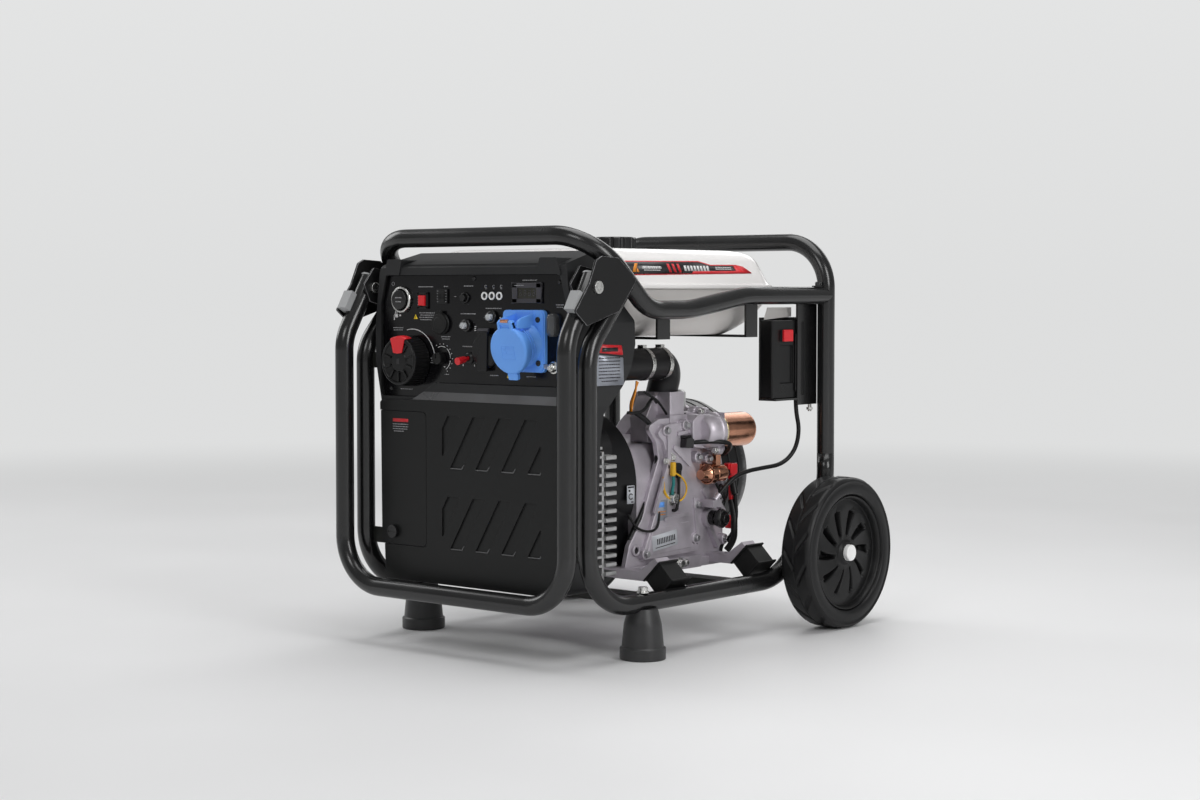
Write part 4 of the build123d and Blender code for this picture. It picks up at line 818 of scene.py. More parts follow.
meter_x, meter_z = 110.6, 535.0
bars = [rect(meter_x, meter_z + 11, 57, 7), rect(meter_x, meter_z - 11.3, 57, 6.4),
        rect(meter_x - 23.5, meter_z, 10, 29), rect(meter_x + 23.5, meter_z, 10, 29)]
piece("meter_frame", [slab(bar, ink, 3.4) for bar in bars], meter_grey, "panel_fittings", 0.6)
piece("meter_screen", [slab(rect(meter_x, meter_z, 38, 17), ink, 1.6)], screen_green, "panel_fittings", 0.2)
digits = []
for i in range(4):
    at = meter_x - 13 + 8.6 * i
    digits += [rect(at, meter_z + 4, 4, 0.8), rect(at, meter_z - 4, 4, 0.8), rect(at, meter_z, 4, 0.8),
               rect(at + 2, meter_z + 2, 0.8, 3.4), rect(at - 2, meter_z - 2, 0.8, 3.4),
               rect(at + 2, meter_z - 2, 0.8, 3.4)]
printed("meter_digits", digits, meter_grey, "panel_fittings", front(panel_y - 1.6), 0.05)
printed("meter_marks", dash_line(meter_x - 14, meter_z + 11, 20, 1.2), ink_grey, "panel_fittings",
        front(panel_y - 3.4))

for index, x in enumerate((24.9, 39.8, 54.7)):
    halo = on_panel([(3.6, 0), (6, 0), (6, 1.6), (5.3, 2.4), (4.2, 2.2), (3.6, 1.2)], x, 530.7, steps=40)
    piece(f"lamp_ring_{index}", [halo], cap_white, "indicator_lamps", 0,
          stands_for=["indicator_lamps"] if index == 0 else ())
    lens = on_panel([(0, 2.2), (1.5, 2.0), (2.8, 1.3), (3.5, 0.3), (3.5, 0), (0, 0)], x, 530.7, steps=40)
    piece(f"lamp_lens_{index}", [lens], button_black, "indicator_lamps", 0)

dc_x, dc_z = -63.9, 488.9
cap_base = panel_y - 3.4
cap = on_panel([(0, 5.4), (9, 5.4), (10, 4.6), (13.4, 4.6), (15, 4), (15.5, 2.6), (15.5, 0), (0, 0)], dc_x,
               dc_z, cap_base)
strap = slab(rounded([(-70, 498), (-57.8, 498), (-59, 508), (-69, 508)], 1.5), front(cap_base), 3)
pips = [slab(rounded(rect(x, 505, 2.2, 7), 1), front(cap_base - 2.8), 1) for x in (-66.4, -61.4)]
piece("charger_cap_cover", [cap, strap] + pips, rubber_black, "dc_cap", 0.5, stands_for=["dc_cap"])
piece("charger_socket", [on_panel([(11, 0), (16, 0), (16.4, 1.2), (15, 2.9), (11, 2.9)], dc_x, dc_z)],
      dark_fitting, "panel_fittings", 0)

for side, x, z in (("left", -10.9, 486.6), ("right", 41.0, 499.7)):
    nut = on_panel([(5.5, 0), (9.5, 0), (9.5, 3.6), (8.6, 5.6), (5.5, 5.8)], x, z, steps=40)
    piece(f"breaker_nut_{side}", [nut], button_black, "panel_fittings", 0)
    stem = on_panel([(0, 11.4), (3.4, 11.4), (4.2, 10.8), (4.2, 3), (0, 3)], x, z, steps=40)
    piece(f"breaker_stem_{side}", [stem], cap_white, f"breaker_button_{side}", 0)

toggle_x, toggle_z = -7.0, 438.4
collar = on_panel([(3.8, 0), (9, 0), (9, 1.6), (7.6, 1.8), (6.4, 4), (3.8, 4)], toggle_x, toggle_z,
                  steps=40)
piece("toggle_collar", [collar], dark_fitting, "panel_fittings", 0)
earth_x, earth_z = 161.0, 428.0
stud = on_panel([(0, 12), (3.2, 12), (4, 11), (4, 0), (0, 0)], earth_x, earth_z, steps=32)
hub = on_panel([(0, 9), (5, 9), (6.4, 7), (7, 3), (7, 2), (9, 1.6), (9, 0), (0, 0)], earth_x, earth_z,
               steps=32)
wings = [slab(rounded([(earth_x + s * 3, earth_z - 3), (earth_x + s * 15, earth_z - 1),
                       (earth_x + s * 16, earth_z + 6), (earth_x + s * 4, earth_z + 4)][::s], 2.4),
                       front(panel_y - 4), 2.6) for s in (1, -1)]
piece("earth_wing_nut", [stud, hub] + wings, zinc, "panel_fittings", 0.4)
piece("panel_screws", [pan_screw((x, panel_y, z), out_front, 6.4, 2.2)
                       for x, z in ((3.8, 556.4), (172.2, 550.5), (-172, 389), (172, 406))], button_black,
      "panel_fittings", 0)

# Round socket with its upright flap
schuko_x, schuko_z = 28.0, 450.0
plate = on_panel([(19.5, 0), (26, 0), (26, 1.8), (24.4, 4), (19.5, 4)], schuko_x, schuko_z)
piece("schuko_plate", [plate], dark_fitting, "schuko_socket", 0, stands_for=["schuko_socket"])
flap_base = panel_y - 4.4
disc = on_panel([(0, 3), (22, 3), (24.5, 1.6), (24.5, 0), (0, 0)], schuko_x, schuko_z, flap_base)
spine = slab(rounded([(schuko_x - 10.5, schuko_z - 30), (schuko_x + 9, schuko_z - 30),
                      (schuko_x + 10.5, schuko_z + 28), (schuko_x - 10.5, schuko_z + 28)], 2.5),
                      front(flap_base), 5.6)
piece("schuko_flap_cover", [disc, spine], dark_fitting, "schuko_flap", 0.9, stands_for=["schuko_flap"])
pin = turned([(0, 0), (2.4, 0), (2.4, 22), (0, 22)], (schuko_x - 11, flap_base - 2.4, 480.0), to_right, 24)
brow = slab(rounded(rect(schuko_x, schuko_z + 31, 22, 4.5), 1), front(flap_base), 3.2)
piece("schuko_flap_hinge", [pin, brow], meter_grey, "schuko_flap", 0.5)

# Industrial socket: flange, flared barrel and round lid
cee_x, cee_z = 107.8, 465.5
lean = math.radians(12)
barrel_out = Vector((0, -math.cos(lean), -math.sin(lean)))
barrel_up = Vector((0, -math.sin(lean), math.cos(lean)))
barrel_root = Vector((cee_x + 2, panel_y - 7, cee_z - 6))
flange = slab(rounded(rect(cee_x, cee_z, 82, 90), 8, 8), ink, 6.5)
upper = slab(rounded(rect(cee_x, cee_z, 78, 86), 7, 8), front(panel_y - 6.4), 1.6)
barrel = turned([(26, 4), (26, 26.8), (31, 26.8), (31.6, 25.6), (31.6, 20), (30.2, 18), (30.2, 10),
                 (33.4, 3), (36, 0), (36, -4), (26, -4)], barrel_root, barrel_out, 72)
ribs = [turned([(29, h), (31.4, h + 0.2), (31.4, h + 2.2), (29, h + 2.4)], barrel_root, barrel_out, 72)
        for h in (9.5, 14.5)]
piece("cee_body", [flange, upper, barrel] + ribs, blue_plastic, "cee_socket", 0.9, 3,
      stands_for=["cee_socket"])
hinge_at = Vector((109.8, -354.03, 492.1))
for s in (-1, 1):
    ear = [(-352, 484), (-349, 496), (-340, 500), (panel_y - 7, 506), (panel_y - 7, 486), (-335, 484)]
    piece(f"cee_ear_{'left' if s < 0 else 'right'}",
          [slab(rounded(ear, 3), right(hinge_at.x + s * 18 - 2), 4)], blue_plastic, "cee_socket", 0.8)
piece("cee_screws", [pan_screw((x, panel_y - 8, z), out_front, 8.5, 2.6) for x,
                     z in ((137.0, 496.5), (137.9, 434.1), (77, 434.1))], button_black, "cee_socket", 0)

lid_seat = barrel_root + barrel_out * 27.4
lid = turned([(0, 8.6), (30, 8.6), (31.5, 9), (33.4, 8.4), (34.6, 7), (35, 5), (35, 0), (0, 0)], lid_seat,
             barrel_out, 80)
lid_place = on_plane(lid_seat, to_right, barrel_up)
tab = slab(rounded([(-10, -33), (10, -33), (9, -44), (-9, -44)], 3), lid_place, 6, 0.2)
bridge = slab(rounded([(-14, 20), (14, 20), (14, 39), (-14, 39)], 2), lid_place, 6, 0.2)
knuckle = turned([(0, -14), (4, -14), (4, 14), (0, 14)], hinge_at, to_right, 28)
arms = [slab(rounded([(s * 9, 22), (s * 14, 22), (s * 14, 42), (s * 9, 42)][::s], 1.6), lid_place, 8.6,
             0.2) for s in (1, -1)]
piece("cee_lid_cover", [lid, tab, bridge, knuckle] + arms, blue_plastic, "cee_lid", 0.9, 3,
      stands_for=["cee_lid"])
embossed = [rect(0, 6, 24, 0.9), rect(0, -5, 24, 0.9), rect(0, 2.6, 24, 0.7), rect(0, -12.5, 24, 0.9)]
embossed += [rect(-12, -3, 0.9, 19), rect(12, -3, 0.9, 19), rect(-4, 0.5, 0.8, 11)]
piece("cee_lid_relief", [slab(line, lid_place, 0.5, 8.5) for line in embossed], blue_plastic, "cee_lid",
      0.15)
spring = turned([(0, -7), (2.6, -7), (2.6, 7), (0, 7)], hinge_at + Vector((0, -3.2, 2.6)), to_right, 24)
piece("cee_hinge_spring", [spring], copper, "cee_lid", 0.3)

# Engine switch: a ribbed knob with a red pointer over its rim
knob_r = 38.5
knob_back = panel_y - 0.8
knob_deep = 31.0


def ribbed(radius, height, turn):
    """Grooves round the knob's side."""
    if radius < knob_r - 4 or not 2 < height < knob_deep - 3:
        return radius, height
    return radius - 1.0 * (0.5 + 0.5 * math.cos(turn * 44)) ** 2, height


side_steps = [(knob_r - 2.2 * i / 12, 1.5 + (knob_deep - 4) * i / 12) for i in range(13)]
knob = turned([(0, 0), (knob_r - 1, 0), (knob_r, 1)] + side_steps +
              [(knob_r - 3.4, knob_deep - 0.8), (knob_r - 5, knob_deep), (knob_r - 7, knob_deep - 0.4),
               (knob_r - 8, knob_deep - 2.4), (knob_r - 22, knob_deep - 3.4),
               (knob_r - 24, knob_deep - 1.6), (0, knob_deep - 1.2)], (knob_x, knob_back, knob_z),
               out_front, 352, ribbed)
spokes = []
for i in range(10):
    turn = math.radians(36 * i + 18)
    if abs(math.degrees(turn) - 90) < 20:
        continue
    along = Vector((math.cos(turn), math.sin(turn)))
    across = Vector((-along.y, along.x))
    hub_side = [along * 17 - across * 1.2, along * 30.5 - across * 1.9, along * 30.5 + across * 1.9,
                along * 17 + across * 1.2]
    spokes.append(slab([(knob_x + p.x, knob_z + p.y) for p in hub_side], front(knob_back - knob_deep + 4),
                       3.4))
shaft = turned([(0, -1.8), (4, -1.8), (4, 1), (0, 1)], (knob_x, knob_back, knob_z), out_front, 32)
piece("switch_knob", [knob, shaft] + spokes, knob_black, "engine_knob", 0.35, stands_for=["engine_knob"])
cap_face = front(knob_back - knob_deep + 1)
tip = [(knob_x + u, knob_z + v) for u, v in ((-10.5, 13), (0, 11.5), (10.5, 13))]
rim_arc = [(knob_x + 36.8 * math.cos(a), knob_z + 36.8 * math.sin(a))
           for a in (math.radians(66 + 4 * i) for i in range(13))]
piece("switch_pointer", [slab(rounded(tip, 0.1, 1) + rim_arc, cap_face, 1.6)], red_plastic, "engine_knob",
      0.5)
saddle = [(radius, height) for radius, height in ((37.0, 16), (39.0, 17), (38.6, 24), (37.4, 31),
                                                  (36, 31.8), (35, 31))]
steps = 24
saddle_corners = [[tuple(Vector((knob_x, knob_back - h, knob_z)) +
                         Vector((math.cos(a), 0, math.sin(a))) * r) for r, h in saddle]
                         for a in (math.radians(66 + 48 * i / steps) for i in range(steps + 1))]
piece("switch_pointer_side", [stack(saddle_corners)], red_plastic, "engine_knob", 0)
# The key hole is not cut: a thin dark sheet on the knob's face stands for it, as painted shade where the
# hole is.
hole = [(knob_x - 3.2, knob_z - 4.2), (knob_x + 3.2, knob_z - 4.2), (knob_x + 3.2, knob_z + 4.2),
        (knob_x - 3.2, knob_z + 4.2)]
piece("switch_key_hole", [slab(rounded(hole, 0.8), front(knob_back - knob_deep + 2), 1.1)], ink_black,
      "engine_knob", 0.1)

# ---------------------------------------------------------------- labels on the housing and the door

door_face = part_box("service_door")[0].y / MM
door_ink = front(door_face)
printed("door_label_header", [rounded(rect(-143, 341.5, 33, 5), 0.8)], ink_red, "service_door", door_ink)
printed("door_label_lines", [stroke for i in range(4)
                             for stroke in dash_line(-143 - (3 if i == 3 else 0), 335.5 - 3.6 * i,
                                     33 - (10 if i == 3 else 0), 1.3)], ink_grey, "service_door", door_ink)

side_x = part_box("housing")[1].x / MM
side_ink = right(side_x)
printed("side_label_plate", [rounded([(-262, 447), (-200, 441), (-198, 401), (-262, 401)], 3)],
        label_silver, "housing", side_ink)
printed("side_label_header", [rounded([(-258, 461), (-204, 459), (-200, 444.5), (-263, 449.5)], 2)],
        ink_red, "housing", side_ink)
printed("side_label_bar", [rect(-230, 453, 36, 6)], ink_black, "housing", right(side_x + 0.15))
printed("side_label_lines", [stroke for i in range(8)
                             for stroke in dash_line(-231, 441 - 4.8 * i, 48 - (12 if i == 7 else 0),
                                                     1.5)], ink_black, "housing", right(side_x + 0.15))

# ---------------------------------------------------------------- fuel tank

# level, half width, front, rear, corner radius: the lower shell, the seam's lip and the upper shell
tank_levels = ((470, 150, -150, 116, 20), (472, 156, -156, 120, 26), (478, 166, -162, 131, 32),
               (486, 174, -164, 145, 36), (498, 181, -172, 163, 38), (514, 187, -188, 182, 40),
               (530, 191, -204, 190, 42), (540, 193.5, -213, 192, 42), (541, 197, -220, 197, 46),
               (542.5, 198, -222.7, 199, 47), (546.5, 198, -222.7, 199, 47), (548, 197, -221.5, 198, 46),
               (549, 194.5, -219.5, 195, 44), (553, 192.5, -219, 192, 44), (584, 184, -214, 175, 44),
               (590, 181, -211, 168, 42), (595, 175, -206, 160, 40), (599, 166, -199, 150, 36),
               (601.3, 155, -190, 138, 30), (602, 143, -180, 126, 24))


def tank_ring(z, half, front_y, rear_y, radius):
    """One level of the tank."""
    corners = [(-half, front_y), (half, front_y), (half, rear_y), (-half, rear_y)]
    return [(x, y, z) for x, y in rounded(corners, radius, 9)]


rings = [tank_ring(*level) for level in tank_levels]
neck = turned([(0, 0), (30, 0), (30, 12), (0, 12)], (0, 20, 600), upward, 48)
tank = piece("fuel_tank_shell", [stack(rings[9:]), neck], tank_white, "fuel_tank", 0,
             stands_for=["fuel_tank"])
tank_lower = piece("fuel_tank_lower", [stack(rings[:10])], tank_grey, "fuel_tank", 0)
for shell in (tank, tank_lower):
    crease = shell.modifiers.new("crease", "EDGE_SPLIT")
    crease.split_angle = math.radians(34)

lean_low, lean_high = 553, 584
lean_x = (192.5, 184)


def tank_side(lift):
    """Places an outline of (y, z) points on the upper shell's leaning side."""
    def place(u, v, w):
        t = (v - lean_low) / (lean_high - lean_low)
        return (lean_x[0] + t * (lean_x[1] - lean_x[0]) + lift + w, u, v)
    return place


field = [(-186, 581), (-176, 562.6), (-20, 564.6), (129, 566.4), (108, 575), (92, 577.6), (26, 577),
         (-2, 582.4)]
printed("tank_stripe_edge", [rounded([(-189, 582.4), (-178, 561), (-20, 563.2), (133, 565.6), (110, 576.4),
                                      (92, 579), (27, 578.4), (-2, 583.8)], 1.5)], ink_red, "fuel_tank",
                                      tank_side(0.1))
printed("tank_stripe_field", [rounded(field, 1.2)], ink_black, "fuel_tank", tank_side(0.26))
printed("tank_stripe_swoosh", [[(-24, 564.6), (129, 566.4), (108, 575), (92, 577.6), (84, 576.4),
                                (90, 569.6), (-20, 568)]], ink_red, "fuel_tank", tank_side(0.42))
slashes = [[(x, 566), (x + 6, 566), (x + 2, 579), (x - 4, 579)] for x in (-78, -66, -54)]
printed("tank_stripe_slashes", slashes, ink_red, "fuel_tank", tank_side(0.42))
bars = [[(x, 568.5), (x + 5.5, 568.5), (x + 4.5, 576.5), (x - 1, 576.5)]
        for x in (-40, -32, -24, -16, -8, 0, 8, 16)]
bars += dash_line(-118, 573, 44, 4) + dash_line(-118, 569, 40, 1.2) + dash_line(58, 574.4, 40,
        1.3) + dash_line(58, 571.8, 40, 1.3)
printed("tank_stripe_bars", bars, ink_white, "fuel_tank", tank_side(0.42))
printed("tank_stripe_emblem", [[(-166, 566), (-158, 566), (-150, 579), (-157, 579)],
                               [(-156, 566), (-150, 566), (-153, 572)]], wire_orange, "fuel_tank",
                               tank_side(0.42))
piece("tank_rear_plate", [slab(rounded([(166, 492), (240, 497), (240, 512), (176, 512)], 1), right(186),
                               2)], tank_grey, "fuel_tank", 0.4)
clip = slab(rounded(rect(226, 262, 10, 26), 2), top(545), 1.8)
pins = [turned([(0, 0), (2.4, 0), (2.4, 6), (1.2, 8), (0, 8)], (226, y, 545), upward, 20)
        for y in (256, 268)]
piece("hoop_clip", [clip] + pins, button_black, "rear_hoop", 0.3)

# ---------------------------------------------------------------- battery

battery_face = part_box("battery")[1].x / MM
piece("battery_terminal_cover", [slab(rounded(rect(197, 467, 25, 19), 2.5), right(battery_face - 5), 8.2)],
      red_plastic, "battery", 0.9)
ribs = [slab(rounded(rect(y, 424, 3.4, 92), 1), right(battery_face - 3.4), 3) for y in (222, 230)]
ribs += [slab(rounded(rect(256, 424, 30, 100), 3), right(battery_face - 3.4), 2.4)]
strap = slab(rounded(rect(238, 430, 9, 118), 2), right(battery_face - 3.4), 5)
piece("battery_ribs", ribs + [strap], case_black, "battery", 0.6)
marks = [rect(258, z, 9, 1.1) for z in (455, 450, 446, 441, 436, 431)] + [rect(263, 408, 4, 6),
        rect(252, 398, 5, 5)]
printed("battery_marks", marks, ink_grey, "battery", right(battery_face - 0.9))
piece("battery_hook", [turned([(0, 0), (3, 0), (3, 12), (0, 12)], (205, 268, 355), (0, 0, -1), 20)]
      + hex_bolt((205, 268, 350), (0, 0, -1), 9, 5), zinc, "battery_tray", 0.3)

# ---------------------------------------------------------------- engine castings

case_side = 112.0           # outer side of the crankcase
low_step = case_side + 5    # just inside the cast cover's first step
high_step = case_side + 13  # just inside its raised middle
nose_end_y = 103.8          # where the starter's nose ends and its can begins
relay_x, relay_z = 134.0, 248.0
starter_axis = (134.0, 316.0)


def copy_of(name, node, look, cutters):
    """A CAD node's own shape with some solids cut from it."""
    data = frame["nodes"][node].data.copy()
    data.materials.clear()
    data.materials.append(look)
    thing = bpy.data.objects.new(name, data)
    bpy.context.scene.collection.objects.link(thing)
    thing.matrix_world = frame["nodes"][node].matrix_world.copy()
    cutter = piece(name + "_cutter", cutters, look, node, 0)
    cut = thing.modifiers.new("cut", "BOOLEAN")
    cut.operation = "DIFFERENCE"
    cut.object = cutter
    cut.solver = "EXACT"
    bpy.context.view_layer.objects.active = thing
    bpy.ops.object.modifier_apply(modifier="cut")
    bpy.data.objects.remove(cutter)
    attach(thing, body_of[node])
    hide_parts(node)
    return thing


flange_box = slab([(60, 284), (nose_end_y, 284), (nose_end_y, 349), (60, 349)], right(case_side + 0.2), 60)
case = copy_of("crankcase_casting", "crankcase", cast_alloy, [flange_box])
finish_mesh(case, 1.6, 3)

# The side cover in steps, with webs, bosses and bolts
base = [(-44, 328), (-16, 340), (48, 341), (62, 330), (70, 300), (100, 280), (136, 264), (149, 240),
        (149, 128), (138, 117), (-100, 108), (-88, 148), (-56, 188), (-36, 236), (-16, 278), (-22, 304)]
raised = [(-30, 318), (-8, 331), (44, 332), (54, 322), (58, 270), (78, 246), (82, 150), (74, 126),
          (-66, 124), (-50, 158), (-28, 204), (-10, 250), (-4, 284), (-12, 304)]
plate = [(-40, 172), (52, 176), (60, 134), (-54, 130)]
casting = [slab(rounded(base, 9), right(case_side - 2), 9),
           slab(rounded(raised, 9), right(case_side + 6), 8),
           slab(rounded(plate, 5), right(high_step), 2.6)]
piece("side_cover", casting, cast_alloy, "crankcase", 2.6, 3)
webs = [
    [(-6, 262), (2, 262), (2, 318), (-6, 318)], [(8, 292), (50, 262), (54, 268), (12, 299)],
    [(20, 312), (52, 316), (52, 321), (20, 318)], [(60, 212), (66, 212), (76, 138), (70, 138)],
    [(-12, 180), (50, 186), (50, 191), (-12, 186)], [(22, 196), (28, 196), (30, 258), (24, 258)],
    [(-40, 196), (-34, 193), (0, 266), (-6, 270)],
]
piece("side_cover_webs", [slab(rounded(web, 1.5, 3), right(high_step), 4.4) for web in webs], cast_alloy,
      "crankcase", 1.4)
sweeps = [[(84, 222), (90, 226), (140, 170), (136, 160)], [(86, 186), (92, 190), (132, 132), (126, 126)],
          [(100, 250), (104, 256), (146, 226), (144, 218)],
          [(118, 206), (124, 210), (146, 186), (144, 178)]]
piece("sump_webs", [slab(rounded(web, 2, 3), right(low_step), 11) for web in sweeps], cast_alloy,
      "crankcase", 1.8)
boss_spots = ((69, 201), (65, 148), (71, 276), (-9, 322), (40, 328), (140, 234), (141, 140), (-60, 134),
              (98, 272))
bosses = [turned([(0, 0), (9.6, 0), (8.6, 12), (7.6, 13), (0, 13)], (low_step, y, z), to_right, 32)
          for y, z in boss_spots]
piece("side_cover_bosses", bosses, cast_alloy, "crankcase", 0.5)
bolts = []
for y, z in boss_spots:
    bolts += hex_bolt((case_side + 17.8, y, z), to_right, 9, 4.5, 12)
piece("side_cover_bolts", bolts, steel, "crankcase", 0.4)
port = turned([(5.5, 0), (9, 0), (9, 5), (8, 6), (5.5, 6)], (low_step, -74, 140), to_right, 32)
piece("side_cover_port", [port], cast_alloy, "crankcase", 0)
piece("side_cover_port_plug", [turned([(0, 0), (5.4, 0), (5.4, 3.6), (0, 3.6)], (low_step, -74, 140),
                                      to_right, 24)], button_black, "crankcase", 0)
foot_strip = slab(rounded([(-68, 102), (77, 102), (77, 121), (-50, 121)], 1.5), right(case_side + 14.2), 5)
piece("foot_strip", [foot_strip], cast_alloy, "crankcase", 0.8)
piece("foot_bolts", hex_bolt((case_side + 19.2, 21, 112), to_right, 12, 6, 19) +
      hex_bolt((case_side + 19.2, 36, 112), to_right, 8, 4, 12), zinc, "crankcase", 0.5)
bell = turned([(96, 0), (119.4, 0), (120, 2), (120, 9), (118, 11.6), (96, 11.6)], (0, 138.4, 242), to_rear,
              96)
piece("bell_ring", [bell], cast_alloy, "crankcase", 0.6)
top_knobs = [turned([(0, 0), (9, 0), (10, 3), (10, 12), (8, 14), (0, 14)],
                    (84 + 10 * i, 126 - 30 * i, 342 + 3 * i), to_right, 28) for i in range(2)]
hood = slab(rounded([(-10, 300), (60, 300), (78, 334), (70, 366), (38, 380), (4, 372), (-14, 340)], 10),
            right(58), 34)
piece("head_casting", [hood] + top_knobs, cast_alloy, "crankcase", 2.4, 3)
piece("head_cap", [turned([(0, 0), (22, 0), (24, 4), (24, 26), (20, 30), (0, 30)], (88, 52, 352), upward,
                          40)], fin_alloy, "crankcase", 0.6)

# Starter: its cast nose, copper body with a zinc rim, and the solenoid under it
sx, sz = starter_axis
nose = turned([(0, 70), (17, 70), (21, 72), (25, 78), (27, 86), (28, 92), (30.5, 95), (30.5, nose_end_y),
               (0, nose_end_y)], (sx, 0, sz), to_rear, 56)
fairing = slab(rounded([(50, 292), (98, 288), (98, 344), (64, 343), (48, 334)], 10), right(case_side - 2),
               26)
ears = [turned([(0, 92), (7, 92), (7, nose_end_y), (0, nose_end_y)], (sx + u, 0, sz + v), to_rear, 28)
        for u, v in ((-14, 30), (14, -30))]
piece("starter_nose", [nose, fairing] + ears, cast_alloy, "crankcase", 1.6, 3)
piece("starter_nose_bolts", hex_bolt((sx - 14, 92, sz + 30), (0, -1, 0), 9, 5, 11) +
      hex_bolt((sx + 14, 92, sz - 30), (0, -1, 0), 9, 5, 11), zinc, "crankcase", 0.4)
can = turned([(0, 104.3), (27.6, 104.3), (27.6, 178), (27, 182), (24.6, 185), (21, 186), (9, 186),
              (8, 185), (0, 185)], (sx, 0, sz), to_rear, 72)
relay = [(0, 70), (8, 70), (9, 78), (12, 84), (13.5, 86), (13.5, 100), (12.4, 101), (12.4, 103),
         (13.5, 104), (13.5, 126), (12.6, 128), (5, 128), (5, 136), (0, 136)]
strap = slab([(88, relay_z - 15.5), (98, relay_z - 15.5), (98, relay_z + 15.5), (88, relay_z + 15.5)],
             right(case_side + 1), 10)
link = slab([(106, relay_z + 8), (118, relay_z + 8), (118, sz - 22), (106, sz - 22)], right(relay_x - 4), 8)
piece("starter_can", [can, turned(relay, (relay_x, 0, relay_z), to_rear, 56), strap, link], copper,
      "starter_motor", 0.5, stands_for=["starter_motor"])
loop = turned([(14, 86), (16.4, 86), (16.4, 99), (14, 99)], (relay_x, 0, relay_z), to_rear, 48)
piece("starter_relay_strap", [loop], copper, "starter_motor", 0.4)
piece("starter_rim", [turned([(27, 105), (28.6, 105), (28.6, 108.4), (27, 108.4)], (sx, 0, sz), to_rear,
                             72)], yellow_zinc, "starter_motor", 0)
piece("starter_end_screws", [pan_screw((sx + 17 * c, 185.6, sz + 17 * d), to_rear, 7, 2.4) for c,
                             d in ((0.7, 0.7), (-0.7, -0.7))], zinc, "starter_motor", 0)
nut = hex_bolt((relay_x, 130, relay_z), to_rear, 9, 3.4)
piece("starter_relay_nut", nut, zinc, "starter_motor", 0.2)

# ---------------------------------------------------------------- leads and small parts on the engine

plug = slab(rounded([(28, 293), (48, 292), (50, 305), (44, 309), (30, 308)], 2), right(124), 14)
plug_teeth = [slab(rect(30 + 5 * i, 310, 3, 4), right(126), 9) for i in range(4)]
piece("plug_body", [plug] + plug_teeth, button_black, "crankcase", 0.8)
wire("plug_lead", [(133, 48, 300), (138, 66, 301), (160, 88, 301), (165, 110, 297), (150, 122, 284),
                   (130, 132, 276)], 7, cable_black, "crankcase")
piece("earth_bolts", hex_bolt((126, 6, 279), to_right, 10, 5, 15) +
      hex_bolt((126, 8, 215), to_right, 15, 8, 23) + hex_bolt((126, -8, 274), to_right, 8, 4, 11), zinc,
      "crankcase", 0.5)
sleeve = turned([(0, 0), (4.4, 0), (4.8, 2), (4.8, 19), (3.4, 22), (0, 22)], (131, 4, 272), (0, 0.02, -1),
                28)
piece("earth_sleeve", [sleeve], wire_yellow, "crankcase", 0)
wire("earth_lead_teal", [(131, 4, 252), (132, 6, 240), (131, 2, 228), (129, 6, 218)], 5, wire_teal,
     "crankcase")
wire("earth_lead_yellow", [(131, 6, 256), (134, 20, 250), (135, 34, 236), (134, 34, 220), (131, 22, 208),
                           (129, 10, 212)], 3, wire_yellow, "crankcase")
wire("earth_lead_rear", [(127, -14, 250), (128, -16, 236), (127, -10, 222), (126, 2, 214)], 4, wire_yellow,
     "crankcase")
tag = on_plane((127.8, -12, 151), (0, 1, 0.1), (0, -0.1, 1))
printed("serial_plate", [rounded(rect(0, 0, 62, 24), 1.5)], label_white, "crankcase", tag, 0.5)
strokes = [rect(-18 + 4.2 * i, 1, 2.6, 9) for i in range(11)] + [rect(0, -8, 48, 1.2)]
printed("serial_plate_marks", strokes, ink_black, "crankcase",
        on_plane((128.35, -12, 151), (0, 1, 0.1), (0, -0.1, 1)), 0.1)
printed("small_sticker", [rounded(rect(-17, 198, 25, 32), 1.5)], label_silver, "crankcase", right(126.2),
        0.3)
printed("small_sticker_blue", [rounded(rect(-19, 207, 15, 8), 1)], blue_plastic, "crankcase", right(126.5),
        0.2)
printed("small_sticker_marks", dash_line(-17, 196, 20, 1.6) + dash_line(-17, 191.5, 16, 1.6), wire_orange,
        "crankcase", right(126.5), 0.1)
shroud_tag = on_plane((112.6, -77, 226), (0.1, 1, 0), upward)
printed("shroud_label", [rounded(rect(0, 0, 16, 28), 1)], label_white, "engine_shroud", shroud_tag, 0.5)
shroud_ink = on_plane((113.2, -77, 226), (0.1, 1, 0), upward)
printed("shroud_label_marks", [rect(0, 11.4, 13, 2.4), rect(-3, 6, 4, 3), arc_band(0, -3, 3.2, 5, 30, 330),
                               rect(3, -11.5, 5, 2)], ink_black, "engine_shroud", shroud_ink, 0.1)
wire("shroud_rim", [(108, -58, 350), (112, -38, 340), (114, -17, 318), (114, -11, 290), (114, -20, 252),
                    (114, -42, 210), (113, -66, 176), (112, -80, 156)], 8, shroud_black, "engine_shroud")
wire("shroud_lead", [(114, -84, 196), (120, -78, 178), (126, -60, 168), (128, -36, 168), (128, -26, 180),
                     (126, -24, 196)], 4, cable_black, "crankcase")
wire("loom_orange", [(112, -62, 400), (114, -66, 384), (111, -72, 366), (108, -70, 350)], 3.4, wire_orange,
     "crankcase")
wire("loom_orange_second", [(110, -56, 398), (108, -64, 380), (104, -70, 362), (104, -66, 348)], 3,
     wire_orange, "crankcase")
wire("loom_black", [(112, -84, 352), (118, -70, 350), (120, -50, 356), (112, -30, 368), (104, -10, 372),
                    (98, 4, 364)], 5, cable_black, "crankcase")
wire("throttle_lead", [(108, -40, 382), (116, -20, 372), (114, 0, 356), (110, 14, 346)], 4, cable_black,
     "crankcase")
boot = [slab(rounded([(140, 244), (158, 244), (158, 262), (140, 262)], 4), right(126), 16),
        slab(rounded([(138, 252), (144, 252), (144, 262), (138, 262)], 2), right(129), 10)]
piece("boot_upper", boot, red_plastic, "wiring", 1.6, 3)
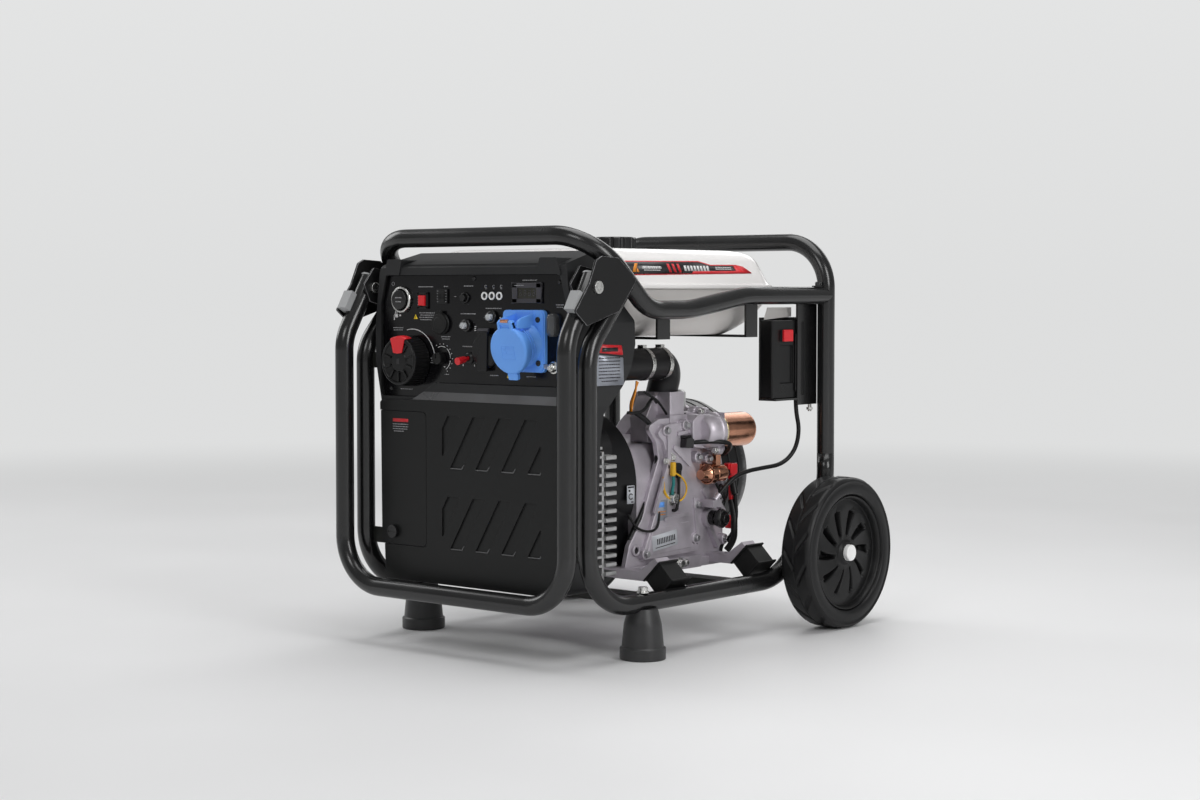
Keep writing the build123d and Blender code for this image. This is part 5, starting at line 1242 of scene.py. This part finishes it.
sleeve = turned([(0, 0), (5.6, 0), (6.2, 4), (5, 20), (4.6, 40), (4.2, 47), (0, 47)], (136, 149, 249),
                (0.02, -0.02, -1), 32)
piece("boot_sleeve", [sleeve], red_plastic, "wiring", 0)
bundle = [(133, 112, 232), (139, 118, 214), (139, 128, 204), (134, 136, 212), (132, 128, 230),
          (136, 116, 226), (141, 112, 208), (138, 124, 198), (132, 138, 206)]
wire("coil_bundle", bundle, 4, cable_black, "crankcase")
wire("down_lead", [(136, 148, 203), (142, 148, 184), (146, 144, 160), (142, 148, 136), (132, 142, 122)],
     11, cable_black, "crankcase")
piece("boot_lower", [slab(rounded(rect(146, 168, 9, 22), 3), right(128), 14)], red_plastic, "crankcase",
      1.6, 3)
octagon = turned([(0, 0), (15.5, 0), (15.5, 8), (13, 11), (0, 11)], (148.8, 100, 178), to_right, 8)
grip = turned([(0, 0), (9, 0), (8, 5), (0, 5)], (159.6, 100, 178), to_right, 8)
piece("dipstick_head", [octagon, grip], button_black, "oil_cap", 1.0)
for index, y in enumerate((-38, 6)):
    band = turned([(24.7, 0), (25.9, 0), (25.9, 8), (24.7, 8)], (100, y, 425), to_rear, 64)
    screw = slab(rounded(rect(100, y + 4, 12, 9), 1), top(449.6), 5)
    piece(f"hose_clamp_{index}", [band, screw], zinc, "intake_hose", 0.4)
fins = [slab(rounded([(128, z), (173, z), (173, z + 6.4), (128, z + 6.4)], 1.6, 3), front(-182), 24)
        for z in (118 + 13.2 * i for i in range(14))]
piece("inverter_fins", fins + [slab([(128, 112), (168, 112), (168, 302), (128, 302)], front(-205), 5)],
      fin_alloy, "inverter", 1.0)
seam = turned([(118.1, 0), (118.9, 0), (118.9, 3), (118.1, 3)], (0, 168, 242), to_rear, 96)
piece("fan_cover_seam", [seam, turned([(118.1, 0), (118.7, 0), (118.7, 2), (118.1, 2)], (0, 192, 242),
                                      to_rear, 96)], shroud_black, "flywheel_cover", 0)

# ---------------------------------------------------------------- battery lead

cable_route = [
    (198.7, 238, 367), (198.7, 238, 345), (198, 250, 314), (193, 246, 280), (184, 222, 258),
    (172, 186, 254), (163, 150, 250), (155, 120, 238), (148, 101, 216),
]
lead = wire("battery_lead", cable_route, 7.0, cable_black, "battery_cable", ["battery_cable"])
